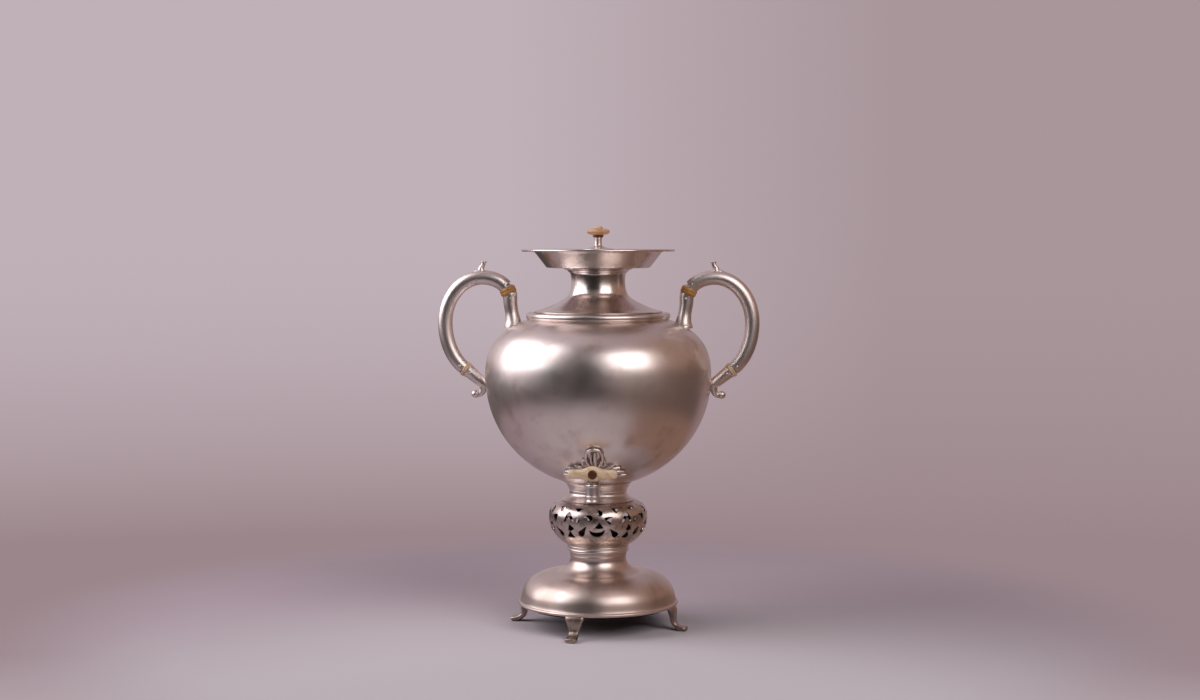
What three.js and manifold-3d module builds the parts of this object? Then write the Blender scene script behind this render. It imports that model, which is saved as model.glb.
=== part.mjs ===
// A footed tea urn in silver plate and ivory, in millimetres, +Z up.
// It stands on its four feet at z = 0, its tap points along -Y and its handles lie along X.

import * as THREE from "three";
import { mergeVertices } from "three/addons/utils/BufferGeometryUtils.js";
import Module from "manifold-3d";

const wasm = await Module();
wasm.setup();

// Facets round a turned piece
const largeSides = 32;
const mediumSides = 20;
const smallSides = 12;
const pinSides = 8;
const tubeSides = 10;
const facetsPerRepeat = 3;

// Clearances and walls that many pieces share
const fitGap = 0.3;
const cutOverrun = 2;
const sheetWall = 1.5;

// Base: a hollow dome on a rolled edge, drawn in to a short pedestal
const rimHeight = 23;
const baseRadius = 80.3;
const rimInset = 6.3;
const skirtHeight = 9;
const rimBulge = 2.3;
const domeRise = 26;
const domeShoulder = 35.3;
const pedestalRadius = 29.2;
const flareRise = 14;
const pedestalHeight = 8;
const lipHeight = 2.2;
const lipOverhang = 1.2;
const lipWidth = 4;

// Feet: four cast scroll feet under the edge of the base
const footTurn = 14.4;
const footCount = 4;
const footOut = 16.9;
const footTop = 24.6;
const footWidth = 18.2;
const footPadWidth = 10.8;
const footAnkleWidth = 10;
const footAnkleHeight = 8.5;
const footPadHeight = 4.6;

// Ring, bolt and pierced gallery between the base and the urn
const ringHeight = 7;
const ringRadius = 32.2;
const ringBead = 1.1;
const boltRadius = 3;
const boltHeadRadius = 5.5;
const boltHeadHeight = 3;
const nutRadius = 6;
const nutHeight = 4.5;
const washerRadius = 10;
const washerHeight = 1.6;
const galleryRadius = 51.5;
const galleryFootRadius = 32.5;
const galleryMouthRadius = 33;
const galleryLowerRise = 28;
const galleryUpperRise = 20;
const galleryWall = 1.6;
const galleryRepeats = 8;
const seatRadius = 30;
const seatHeight = 11.5;
const seatBead = 2.6;
const seatLedge = 4.5;

// Spirit lamp that stands on the floor of the gallery
const lampRadius = 26;
const lampFootRadius = 20;
const lampFootHeight = 3.8;
const lampHeight = 20;
const lampMouth = 8.4;
const lampWall = 1.2;
const burnerFlange = 12;
const burnerTubeRadius = 6;
const burnerRise = 5;
const burnerDrop = 9;
const wickRadius = 4.4;
const wickRise = 3;

// Urn bowl and the collar that stands it in the seat
const collarHeight = 7;
const collarRadius = 35.8;
const spigotDepth = 6;
const spigotWall = 1.6;
const bowlRadius = 117.8;
const bowlLowerRise = 115;
const bowlUpperRise = 67.9;
const bowlUpperPower = 2.6;
const bowlMouthShare = 0.518;
const bandShare = 0.25;
const bandOver = 3.35;
const bandHeight = 7.4;

// Neck and the broad dish round the mouth
const skirtOut = 5;
const skirtEdge = 2.2;
const neckRadius = 28.4;
const neckFlareRise = 19;
const neckFlarePower = 1.25;
const neckHeight = 25.5;
const neckCollarRadius = 35.7;
const neckCollarHeight = 4.4;
const dishFloorRadius = 54.6;
const dishTopRadius = 66.7;
const dishHeight = 17;
const brimRadius = 80;
const brimThickness = 2.4;
const brimWire = 1.3;

// Lid in the dish, with its ivory button
const lidRadius = 47;
const lidRise = 17;
const lidBossRadius = 16.5;
const lidSkirtDepth = 6;
const bossRise = 5;
const stemRadius = 4;
const stemHeight = 8;
const stemCollarRadius = 5.6;
const stemCollarHeight = 2.6;
const buttonRadius = 12;
const buttonHeight = 7;
const capRadius = 4.8;
const capHeight = 2.2;
const studRadius = 1.8;

// Handles: silver tubes carried between ivory rings
const gripCrownOut = 3.2;
const gripCrownOver = 35.04;
const gripFootOut = 17.8;
const gripInnerDrop = 20;
const gripOuterReach = 39.3;
const gripUpperDrop = 47;
const gripLowerDrop = 55;
const gripTubeRadius = 7.6;
const upperRingTurn = 17;
const upperRingThickness = 7.4;
const upperRingRadius = 8.6;
const lowerRingTurn = 63;
const lowerRingThickness = 4.6;
const lowerRingRadius = 8;
const ringSpigotRadius = 4;
const ringSpigotLength = 4;
const upperSocketRadius = 7.5;
const upperSocketFoot = 11;
const lowerSocketRadius = 6.2;
const lowerSocketCup = 7;
const tailRadius = 3.4;
const tailBall = 4.4;
const spurBaseLength = 14;
const spurBaseWidth = 6;
const spurHeight = 7.5;
const spurLean = 4.5;
const spurStem = 1.8;
const spurCapLength = 6.8;
const spurCapHeight = 1.5;
const spurInnerTurn = 25;
const spurOuterTurn = 14;

// Tap on the front of the bowl
const tapRootShare = 0.62;
const tapThrow = 36.96;
const shankRadius = 5;
const shankBore = 2.8;
const shankInside = 10;
const shankStraight = 9;
const barrelRadius = 6.5;
const barrelRim = 0.8;
const barrelHeight = 13;
const barrelDrop = 22.33;
const spoutRadius = 5.9;
const spoutLength = 4.8;
const spoutSlant = 1.6;
const plugTopRadius = 4.9;
const plugFootRadius = 3.9;
const plugBore = 2.2;
const plugHeadRadius = 6.4;
const plugHeadHeight = 1.6;
const plugStemRadius = 3;
const leverLength = 49;
const leverHeight = 16;
const leverEndHeight = 8.6;
const leverThickness = 9.6;
const leverEndThickness = 6.4;
const leverPinHead = 4.7;
const leverPinRadius = 1.5;
const leverPinProud = 0.8;
const tapNutRadius = 9;
const tapNutHeight = 4;
const tapWasherHeight = 3;
const plateThickness = 2.6;
const plateWidth = 62;
const plateHeight = 40;
const plateFootShare = 0.24;
const strainerRadius = 6.4;
const strainerHole = 0.9;
const strainerRise = 5;

// Reaches that follow the base and the bowl
const rimRadius = baseRadius - rimInset;
const footReach = baseRadius + footOut;
const bowlMouth = bowlRadius * bowlMouthShare;
const bandRadius = bowlMouth + (bowlRadius - bowlMouth) * bandShare;
const skirtRadius = bowlMouth + skirtOut;
const gripCrownX = bowlRadius + gripCrownOut;
const gripInnerReach = gripCrownX - bandRadius - gripFootOut;
const tapRootRadius = bowlRadius * tapRootShare;
const tapReach = tapRootRadius + tapThrow;

// Heights worked out from the stack of pieces
const baseWidestZ = rimHeight + skirtHeight;
const baseCrownZ = baseWidestZ + domeRise;
const pedestalFootZ = baseCrownZ + flareRise;
const pedestalTopZ = pedestalFootZ + pedestalHeight;
const galleryFootZ = pedestalTopZ + ringHeight;
const galleryBellyZ = galleryFootZ + galleryLowerRise;
const galleryTopZ = galleryBellyZ + galleryUpperRise;
const seatTopZ = galleryTopZ + seatHeight;
const collarTopShare = Math.sqrt(1 - (collarRadius / bowlRadius) ** 2);
const bowlWidestZ = seatTopZ + collarHeight + bowlLowerRise * collarTopShare;
const gripCrownZ = bowlWidestZ + bowlUpperRise + gripCrownOver;

// Small helpers on plain numbers
const degrees = Math.PI / 180;
const quarterTurn = 90;
const half = (length) => length / 2;
const mix = (from, to, share) => from + (to - from) * share;
const flat = (r, z) => new THREE.Vector2(r, z);

/** Points on a quarter of a superellipse between two turns, in degrees from its equator. */
function oval(centre, reachR, reachZ, power, fromTurn, toTurn, steps) {
  const points = [];
  for (let step = 0; step <= steps; step += 1) {
    const turn = mix(fromTurn, toTurn, step / steps) * degrees;
    const across = Math.abs(Math.cos(turn)) ** (2 / power);
    const up = Math.abs(Math.sin(turn)) ** (2 / power);
    points.push(flat(centre.x + reachR * across, centre.y + reachZ * up));
  }
  return points;
}

/** Merged, outward-facing copy of a geometry with its position alone. */
function closed(geometry) {
  const bare = geometry.clone();
  bare.deleteAttribute("normal");
  bare.deleteAttribute("uv");
  const merged = mergeVertices(bare, 1e-5);
  const corners = merged.index.array;
  const place = merged.attributes.position;
  const kept = [];
  let sixVolumes = 0;
  const [a, b, c] = [new THREE.Vector3(), new THREE.Vector3(), new THREE.Vector3()];
  for (let i = 0; i < corners.length; i += 3) {
    const [p, q, r] = [corners[i], corners[i + 1], corners[i + 2]];
    if (p === q || q === r || r === p) continue;
    kept.push(p, q, r);
    a.fromBufferAttribute(place, p);
    b.fromBufferAttribute(place, q);
    c.fromBufferAttribute(place, r);
    sixVolumes += a.dot(b.clone().cross(c));
  }
  merged.setIndex(sixVolumes < 0 ? kept.reverse() : kept);
  return merged;
}

/** A solid that can be cut and joined, from a closed geometry. */
function solid(geometry) {
  const merged = closed(geometry);
  const mesh = new wasm.Mesh({
    numProp: 3,
    vertProperties: new Float32Array(merged.attributes.position.array),
    triVerts: new Uint32Array(merged.index.array),
  });
  return new wasm.Manifold(mesh);
}

/** The geometry of a finished solid. */
function shape(body) {
  const mesh = body.getMesh();
  const geometry = new THREE.BufferGeometry();
  geometry.setAttribute("position", new THREE.BufferAttribute(new Float32Array(mesh.vertProperties), 3));
  geometry.setIndex(new THREE.BufferAttribute(new Uint32Array(mesh.triVerts), 1));
  return geometry;
}

const cut = (geometry, ...tools) =>
  shape(tools.reduce((body, tool) => body.subtract(solid(tool)), solid(geometry)));
const join = (geometry, ...others) =>
  shape(others.reduce((body, other) => body.add(solid(other)), solid(geometry)));
const common = (first, second) => shape(solid(first).intersect(solid(second)));

/** A profile of radius and height, turned round the Z axis. */
function turned(outline, sides = largeSides) {
  const onAxis = outline[0].x === 0 && outline[outline.length - 1].x === 0;
  const points = onAxis ? outline : [...outline, outline[0]];
  return closed(new THREE.LatheGeometry(points, sides).rotateX(Math.PI / 2));
}

/** A plain upright cylinder between two heights. */
function post(radius, fromZ, toZ, sides = smallSides) {
  return turned([flat(0, fromZ), flat(radius, fromZ), flat(radius, toZ), flat(0, toZ)], sides);
}

/** A flat ring with a bore, between two heights. */
function washer(bore, radius, fromZ, toZ, sides = smallSides) {
  return turned([flat(bore, fromZ), flat(radius, fromZ), flat(radius, toZ), flat(bore, toZ)], sides);
}

/** A six-sided nut with a round bore, between two heights. */
function nut(bore, radius, fromZ, toZ) {
  return cut(post(radius, fromZ, toZ, 6), post(bore, fromZ - cutOverrun, toZ + cutOverrun));
}

/** A prism on an outline in x and z, reaching from one y to another. */
function slab(points, fromY, toY) {
  const options = { depth: toY - fromY, bevelEnabled: false };
  const geometry = new THREE.ExtrudeGeometry(new THREE.Shape(points), options);
  return closed(geometry.rotateX(Math.PI / 2).translate(0, toY, 0));
}

/** A round tube through sections that lie square to a path in the XZ plane. */
function sweep(sections, sides = tubeSides) {
  const places = [];
  const faces = [];
  sections.forEach(({ at, along, radius, width = radius }) => {
    const out = new THREE.Vector3(-along.z, 0, along.x);
    for (let side = 0; side < sides; side += 1) {
      const turn = (side / sides) * 2 * Math.PI;
      const point = at.clone().addScaledVector(out, radius * Math.cos(turn));
      places.push(point.x, point.y + width * Math.sin(turn), point.z);
    }
  });
  for (let ring = 0; ring + 1 < sections.length; ring += 1) {
    for (let side = 0; side < sides; side += 1) {
      const next = (side + 1) % sides;
      const [a, b] = [ring * sides + side, ring * sides + next];
      faces.push(a, b, b + sides, a, b + sides, a + sides);
    }
  }
  const last = (sections.length - 1) * sides;
  for (let side = 1; side + 1 < sides; side += 1) {
    faces.push(0, side + 1, side, last, last + side, last + side + 1);
  }
  const geometry = new THREE.BufferGeometry();
  geometry.setAttribute("position", new THREE.Float32BufferAttribute(places, 3));
  geometry.setIndex(faces);
  return closed(geometry);
}

/** A closed outline through a few points, rounded where they bend. */
function rounded(points, steps, tension = 0.5) {
  const places = points.map(([x, y]) => new THREE.Vector3(x, y, 0));
  const curve = new THREE.CatmullRomCurve3(places, false, "catmullrom", tension);
  return curve.getPoints(steps).map((point) => flat(point.x, point.y));
}

/** A geometry stood along a direction in the XZ plane, with its own z at a place. */
function aimed(geometry, at, along) {
  const turn = new THREE.Quaternion().setFromUnitVectors(new THREE.Vector3(0, 0, 1), along);
  return geometry.applyQuaternion(turn).translate(at.x, at.y, at.z);
}

// Finishes
const silver = { color: 0xb9aaa2, roughness: 0.28, metalness: 1 };
const steel = { color: 0x8d8f92, roughness: 0.4, metalness: 1 };
const paleIvory = { color: 0xdfc7a4, roughness: 0.42, metalness: 0 };
const amberIvory = { color: 0xc29563, roughness: 0.42, metalness: 0 };
const leather = { color: 0x5a3a22, roughness: 0.8, metalness: 0 };
const cotton = { color: 0xe4ddcf, roughness: 0.95, metalness: 0 };
const darkHorn = { color: 0x4c2b12, roughness: 0.5, metalness: 0 };

const urn = new THREE.Group();

/** Adds one finished piece to the urn under its name. */
function add(name, geometry, finish, parent = urn) {
  const mesh = new THREE.Mesh(geometry, new THREE.MeshStandardMaterial(finish));
  mesh.name = name;
  parent.add(mesh);
  return mesh;
}

/** The rolled edge that stands out beyond the dome, drawn out by a clearance. */
function rimRoll(clearance) {
  const middle = flat(rimRadius, rimHeight + half(skirtHeight));
  const reach = rimInset + rimBulge + clearance;
  const rise = half(skirtHeight) + clearance;
  return [...oval(middle, reach, -rise, 2, 90, 0, 4), ...oval(middle, reach, rise, 2, 22, 44, 1)];
}

/** The base's wall from its lower edge to the pedestal's top, drawn in by an inset. */
function baseWall(inset, steps = 3) {
  const edge = flat(rimRadius, baseWidestZ);
  const shoulder = flat(baseRadius - domeShoulder, baseWidestZ);
  const hollow = flat(baseRadius - domeShoulder, pedestalFootZ);
  const rollReach = baseRadius - rimRadius - inset;
  const flareReach = baseRadius - domeShoulder - pedestalRadius + inset;
  return [
    ...(inset > 0 ? oval(edge, rollReach, inset - skirtHeight, 2, 90, 0, steps - 1) : rimRoll(-inset)),
    ...oval(shoulder, domeShoulder - inset, domeRise - inset, 2, 66 / steps, 90, steps),
    ...oval(hollow, -flareReach, -flareRise - inset, 1.7, 68, 0, steps - 1),
  ];
}

/** Base dome with its pedestal, open beneath and closed above by a bolt plate. */
function baseDome() {
  const plateFoot = pedestalTopZ - sheetWall;
  const boltHole = boltRadius + fitGap;
  const outline = [
    flat(rimRadius - sheetWall, rimHeight),
    ...baseWall(0),
    flat(pedestalRadius, pedestalTopZ),
    flat(boltHole, pedestalTopZ),
    flat(boltHole, plateFoot),
    flat(pedestalRadius - sheetWall, plateFoot),
    ...baseWall(sheetWall, 2).reverse(),
    flat(rimRadius - sheetWall, rimHeight + sheetWall),
  ];
  return turned(outline);
}

/** Half-round wire between two radii, seated by its flat side on a height. */
function halfRound(inner, outer, seatZ, rise, steps, sides = largeSides) {
  const middle = mix(inner, outer, 0.5);
  const reach = half(outer - inner);
  const arc = [];
  for (let step = 0; step <= steps; step += 1) {
    const turn = (step / steps) * Math.PI;
    arc.push(flat(middle + reach * Math.cos(turn), seatZ + rise * Math.sin(turn)));
  }
  return turned(arc, sides);
}

add("base_dome", baseDome(), silver);
const lipOuter = rimRadius + lipOverhang;
add("base_lip", halfRound(lipOuter - lipWidth, lipOuter, rimHeight, -lipHeight, 4), silver);

// Feet: the side outline and the front outline of the casting, crossed
const footOuterShares = [
  [-0.018, 1.0], [0.183, 0.972], [0.296, 0.902], [0.331, 0.797], [0.29, 0.675],
  [0.237, 0.545], [0.225, 0.423], [0.314, 0.305], [0.503, 0.228], [0.716, 0.187],
  [0.917, 0.146], [1.0, 0.077], [0.929, 0.0],
];
const footInnerShares = [
  [0.112, 0.0], [0.065, 0.146], [-0.006, 0.313], [-0.065, 0.528], [-0.148, 0.715], [-0.207, 0.846],
];

/** A cast foot, still pointing along +X. */
function foot() {
  const outward = footReach - baseRadius;
  const place = ([reachShare, riseShare]) => [baseRadius + outward * reachShare, footTop * riseShare];
  const side = [
    ...rounded(footOuterShares.map(place), 20),
    ...rounded(footInnerShares.map(place), 10),
    flat(baseRadius + outward * footInnerShares[5][0], footTop),
  ];
  const kneeShare = 0.9;
  const front = [
    [half(footPadWidth), 0],
    [half(footPadWidth), footPadHeight],
    [half(footAnkleWidth), footAnkleHeight],
    [mix(half(footAnkleWidth), half(footWidth), 0.3), mix(footAnkleHeight, footTop * kneeShare, 0.5)],
    [half(footWidth), footTop * kneeShare],
    [half(footWidth), footTop],
  ];
  const right = [flat(...front[0]), ...rounded(front.slice(1), 12)];
  const left = right.map((point) => flat(-point.x, point.y)).reverse();
  const width = footReach + cutOverrun;
  const sideSlab = slab(side, -footWidth, footWidth);
  const frontSlab = slab([...right, ...left], -width, 0).rotateZ(Math.PI / 2);
  const dome = [flat(0, rimHeight - fitGap), flat(rimRadius, rimHeight - fitGap), ...baseWall(-fitGap)];
  const lipClear = lipOuter + fitGap;
  const lipFoot = rimHeight - lipHeight - fitGap;
  const clearances = [
    turned([...dome, flat(0, pedestalFootZ)]),
    post(lipClear, lipFoot, rimHeight, largeSides),
  ];
  const inBase = clearances.map((geometry) => geometry.rotateZ(-firstFootTurn));
  return cut(common(sideSlab, frontSlab), ...inBase);
}

const firstFootTurn = (-90 - footTurn) * degrees;
const footGeometry = foot();
const footNames = ["foot_front", "foot_right", "foot_back", "foot_left"];
footNames.forEach((name, place) => {
  const turn = firstFootTurn + (360 / footCount) * place * degrees;
  add(name, footGeometry.clone(), silver).rotation.z = turn;
});

/** Two beads of the stem ring, with its bore for the bolt. */
function stemRing() {
  const boltHole = boltRadius + fitGap;
  const waist = ringRadius - ringBead;
  const bead = half(ringHeight);
  const lower = pedestalTopZ;
  return turned([
    flat(boltHole, lower),
    flat(waist, lower),
    flat(ringRadius, lower + bead * 0.3),
    flat(ringRadius, lower + bead * 0.7),
    flat(waist, lower + bead),
    flat(ringRadius, lower + bead * 1.3),
    flat(ringRadius, lower + bead * 1.7),
    flat(waist, galleryFootZ),
    flat(boltHole, galleryFootZ),
  ], mediumSides);
}

add("stem_ring", stemRing(), silver);

// The belly of the gallery is an oval whose centre lies on the axis
const galleryUpperPower = 2.5;
const bellyReach = (radius, rise, power) => rise / (1 - (radius / galleryRadius) ** power) ** (1 / power);
const galleryUpperReach = bellyReach(galleryMouthRadius, galleryUpperRise, galleryUpperPower);
const galleryLowerReach = bellyReach(galleryFootRadius, galleryLowerRise, 2);

/** Turn, in degrees, at which a superellipse has come in to a share of its radius. */
function turnAt(share, power) {
  return Math.acos(share ** (power / 2)) / degrees;
}

/** Wall of the gallery from its foot to its mouth, drawn in by an inset. */
function galleryWallLine(inset, steps = 3) {
  const belly = flat(0, galleryBellyZ);
  const radius = galleryRadius - inset;
  const footTurnUp = turnAt((galleryFootRadius - inset) / radius, 2);
  const mouthTurn = turnAt((galleryMouthRadius - inset) / radius, galleryUpperPower);
  return [
    ...oval(belly, radius, -galleryLowerReach, 2, footTurnUp, 0, steps),
    ...oval(belly, radius, galleryUpperReach, galleryUpperPower, 75 / steps, mouthTurn, steps - 1),
  ];
}

// One repeat of the pierced scrollwork: place across and up, length, width, bend, tilt in degrees
const scrollShares = [
  [1 / 6, 0.68, 0.3, 0.4, 0.34, 28],
  [5 / 6, 0.68, 0.3, 0.4, -0.34, -28],
  [3 / 6, 0.64, 0.36, 0.3, 0.0, 0],
  [1 / 6, 0.33, 0.28, 0.34, -0.32, 58],
  [5 / 6, 0.33, 0.28, 0.34, 0.32, -58],
  [3 / 6, 0.3, 0.26, 0.44, 0.0, 180],
];

/** Outline of a comma, crescent or drop, from a centre line that bends and a width that swells. */
function drop(length, width, bend, steps) {
  const fatShare = 1.45;
  const along = (share) => length * (share - 0.5);
  const bow = (share) => bend * length * (Math.sin(Math.PI * share) - 0.5);
  const swell = (share) => half(width) * Math.sin(Math.PI * share ** fatShare);
  const right = [];
  const left = [];
  for (let step = 0; step <= steps; step += 1) {
    const share = step / steps;
    if (step > 0 && step < steps) left.push(flat(bow(share) - swell(share), along(share)));
    right.push(flat(bow(share) + swell(share), along(share)));
  }
  return [...right, ...left.reverse()];
}

/** The pierced gallery: a spun bulb with its floor, cut through by repeats of scrollwork. */
function piercedGallery() {
  const boltHole = boltRadius + fitGap;
  const mouthBore = seatRadius - seatLedge;
  const outline = [
    flat(boltHole, galleryFootZ),
    ...galleryWallLine(0),
    flat(mouthBore, galleryTopZ),
    flat(mouthBore, galleryTopZ - galleryWall),
    ...galleryWallLine(galleryWall, 2).reverse().slice(1, -1),
    flat(galleryFootRadius - galleryWall, galleryFootZ + galleryWall),
    flat(boltHole, galleryFootZ + galleryWall),
  ];
  let body = solid(turned(outline, galleryRepeats * facetsPerRepeat));
  const repeatAngle = (2 * Math.PI) / galleryRepeats;
  const height = galleryTopZ - galleryFootZ;
  for (let repeat = 0; repeat < galleryRepeats; repeat += 1) {
    scrollShares.forEach(([acrossShare, upShare, longShare, wideShare, bend, tilt]) => {
      const long = height * longShare;
      const outlineShape = new THREE.Shape(drop(long, long * wideShare, bend, 3));
      const options = { depth: galleryRadius, bevelEnabled: false };
      const tool = new THREE.ExtrudeGeometry(outlineShape, options);
      tool.rotateZ(tilt * degrees).rotateX(Math.PI / 2);
      tool.translate(0, -mouthBore, galleryFootZ + height * upShare);
      tool.rotateZ(repeatAngle * (repeat + acrossShare));
      body = body.subtract(solid(tool));
    });
  }
  return shape(body);
}

add("pierced_gallery", piercedGallery(), silver);

/** Short upright seat above the gallery, which takes the urn's spigot. */
function urnSeat() {
  const inner = seatRadius - sheetWall;
  const beadOut = seatRadius + seatBead;
  return turned([
    flat(seatRadius - seatLedge, galleryTopZ),
    flat(beadOut - half(seatBead), galleryTopZ),
    flat(beadOut, galleryTopZ + half(seatBead)),
    flat(seatRadius, galleryTopZ + seatBead * 1.3),
    flat(seatRadius, seatTopZ),
    flat(inner, seatTopZ),
    flat(inner, galleryTopZ + sheetWall),
    flat(seatRadius - seatLedge, galleryTopZ + sheetWall),
  ], mediumSides);
}

add("urn_seat", urnSeat(), silver);

// Bolt that draws the gallery, the ring and the base together
const floorZ = galleryFootZ + galleryWall;
const boltPlateZ = pedestalTopZ - sheetWall;
const boltEndZ = boltPlateZ - washerHeight - nutHeight - boltRadius;
const stemBolt = [
  flat(0, boltEndZ),
  flat(boltRadius, boltEndZ),
  flat(boltRadius, floorZ),
  flat(boltHeadRadius, floorZ),
  flat(boltHeadRadius, floorZ + boltHeadHeight),
  flat(0, floorZ + boltHeadHeight),
];
add("stem_bolt", turned(stemBolt, smallSides), steel);
const nutBore = boltRadius + fitGap;
add("stem_washer", washer(nutBore, washerRadius, boltPlateZ - washerHeight, boltPlateZ), steel);
const nutTopZ = boltPlateZ - washerHeight;
add("stem_nut", nut(nutBore, nutRadius, nutTopZ - nutHeight, nutTopZ), steel);

/** Squat spirit lamp, open at its mouth. */
function lampFont() {
  const shoulderShare = 0.62;
  const shoulderZ = floorZ + lampFootHeight + (lampHeight - lampFootHeight) * shoulderShare;
  const belly = floorZ + lampFootHeight + (lampHeight - lampFootHeight) * (1 - shoulderShare);
  const topZ = floorZ + lampHeight;
  const wall = lampWall;
  return turned([
    flat(0, floorZ + lampFootHeight),
    flat(lampFootRadius - wall, floorZ + lampFootHeight),
    flat(lampFootRadius - wall, floorZ),
    flat(lampFootRadius, floorZ),
    flat(lampFootRadius, floorZ + lampFootHeight),
    flat(lampRadius, belly),
    flat(lampRadius, shoulderZ),
    flat(half(lampRadius + burnerFlange), topZ - wall),
    flat(burnerFlange, topZ),
    flat(lampMouth, topZ),
    flat(lampMouth, topZ - wall),
    flat(half(lampRadius + burnerFlange) - wall, topZ - wall * 2),
    flat(lampRadius - wall, shoulderZ - wall),
    flat(lampRadius - wall, belly + wall),
    flat(lampFootRadius, floorZ + lampFootHeight + wall),
    flat(0, floorZ + lampFootHeight + wall),
  ], smallSides);
}

const lampTopZ = floorZ + lampHeight;
add("lamp_font", lampFont(), silver);
const burnerTopZ = lampTopZ + burnerRise;
const burnerBore = burnerTubeRadius - lampWall;
const burner = [
  flat(burnerBore, lampTopZ - burnerDrop),
  flat(burnerTubeRadius, lampTopZ - burnerDrop),
  flat(burnerTubeRadius, lampTopZ),
  flat(burnerFlange, lampTopZ),
  flat(burnerFlange, lampTopZ + lampWall),
  flat(burnerTubeRadius, lampTopZ + lampWall),
  flat(burnerTubeRadius, burnerTopZ),
  flat(burnerBore, burnerTopZ),
];
add("lamp_burner", turned(burner, smallSides), silver);
const wickFootZ = floorZ + lampFootHeight + lampWall + fitGap;
add("lamp_wick", post(wickRadius, wickFootZ, burnerTopZ + wickRise), cotton);

// Urn: what lifts off the stand
const bowlCentre = flat(0, bowlWidestZ);
const lowerHeight = (radius) => bowlWidestZ - bowlLowerRise * Math.sqrt(1 - (radius / bowlRadius) ** 2);

/** Height of the bowl's shoulder above a radius. */
function shoulderHeight(radius) {
  const rest = 1 - (radius / bowlRadius) ** bowlUpperPower;
  return bowlWidestZ + bowlUpperRise * rest ** (1 / bowlUpperPower);
}

/** Collar under the bowl, whose top follows the bowl and whose spigot drops in the seat. */
function bowlCollar() {
  const outer = collarRadius;
  const spigot = seatRadius - sheetWall - fitGap;
  const inner = spigot - spigotWall;
  const follow = (radius) => flat(radius, lowerHeight(radius) - fitGap);
  return turned([
    flat(inner, seatTopZ - spigotDepth),
    flat(spigot, seatTopZ - spigotDepth),
    flat(spigot, seatTopZ),
    flat(outer, seatTopZ),
    follow(outer),
    follow(mix(outer, inner, 0.5)),
    follow(inner),
  ], mediumSides);
}

add("bowl_collar", bowlCollar(), silver);

/** Outline of the bowl from the bottom of its middle to its mouth, grown by an offset. */
function bowlWall(offset, steps) {
  const radius = bowlRadius + offset;
  const mouthTurn = turnAt((bowlMouth + Math.min(offset, 0)) / radius, bowlUpperPower);
  const lower = oval(bowlCentre, radius, -bowlLowerRise - offset, 2, 90, 0, steps);
  const upper = oval(bowlCentre, radius, bowlUpperRise + offset, bowlUpperPower, 112 / steps, mouthTurn, steps - 3);
  lower[0].x = 0;
  return [...lower, ...upper];
}

// The tap's shank leaves the bowl square to its wall, at a named radius
const rootZ = lowerHeight(tapRootRadius);
const barrelFootZ = rootZ - barrelDrop;
const rootOut = tapRootRadius / bowlRadius ** 2;
const rootDown = (bowlWidestZ - rootZ) / bowlLowerRise ** 2;
const rootAlong = new THREE.Vector3(rootOut, 0, -rootDown).normalize();
const rootPlace = new THREE.Vector3(tapRootRadius, 0, rootZ);
const rootAt = (distance) => rootPlace.clone().addScaledVector(rootAlong, distance);
const shankHole = aimed(
  post(shankRadius + fitGap, -shankInside * 2, shankInside, tubeSides), rootPlace, rootAlong);
const toFront = (geometry) => geometry.rotateZ(-Math.PI / 2);

const bowlShell = turned([...bowlWall(0, 8), ...bowlWall(-sheetWall, 6).reverse()]);
add("urn_bowl", cut(bowlShell, toFront(shankHole.clone())), silver);

/** Rounded band over the bowl's mouth, whose foot follows the shoulder. */
function shoulderBand() {
  const follow = (radius) => flat(radius, shoulderHeight(radius) + fitGap);
  const foot = follow(bandRadius - half(bandHeight) * 0.6);
  const middle = mix(foot.y, bandTopZ, 0.5);
  return turned([
    follow(bowlMouth),
    follow(mix(bowlMouth, bandRadius, 0.45)),
    foot,
    flat(bandRadius - half(bandHeight) * 0.16, mix(foot.y, middle, 0.45)),
    flat(bandRadius, middle),
    flat(bandRadius - half(bandHeight) * 0.16, mix(middle, bandTopZ, 0.6)),
    flat(bandRadius - half(bandHeight) * 0.6, bandTopZ),
    flat(bowlMouth, bandTopZ),
  ]);
}

const bandTopZ = shoulderHeight(bowlMouth) + bandOver;
add("shoulder_band", shoulderBand(), silver);

// Neck, its collar and the dish
const neckFootZ = bandTopZ + skirtEdge + neckFlareRise;
const neckTopZ = neckFootZ + neckHeight;

/** Spun neck with its trumpet foot. */
function neck() {
  const skirt = flat(skirtRadius, neckFootZ);
  const reach = skirtRadius - neckRadius;
  const innerReach = reach + sheetWall;
  const outer = oval(skirt, -reach, -neckFlareRise, neckFlarePower, 90, 0, 5);
  const inner = oval(skirt, -innerReach, -neckFlareRise - sheetWall, neckFlarePower, 0, 78, 3);
  return turned([
    flat(bowlMouth, bandTopZ),
    flat(skirtRadius, bandTopZ),
    ...outer,
    flat(neckRadius, neckTopZ),
    flat(neckRadius - sheetWall, neckTopZ),
    ...inner,
  ]);
}

add("neck", neck(), silver);

// The collar grips the neck's top from outside and carries the dish
const dishFloorZ = neckTopZ + sheetWall;
const neckCollar = [
  flat(neckRadius + fitGap, neckTopZ - neckCollarHeight),
  flat(neckRadius + sheetWall, neckTopZ - neckCollarHeight),
  flat(neckCollarRadius, neckTopZ - neckCollarHeight * 0.45),
  flat(neckCollarRadius, neckTopZ),
  flat(neckRadius + fitGap, neckTopZ),
];
add("neck_collar", turned(neckCollar), silver);

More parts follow.
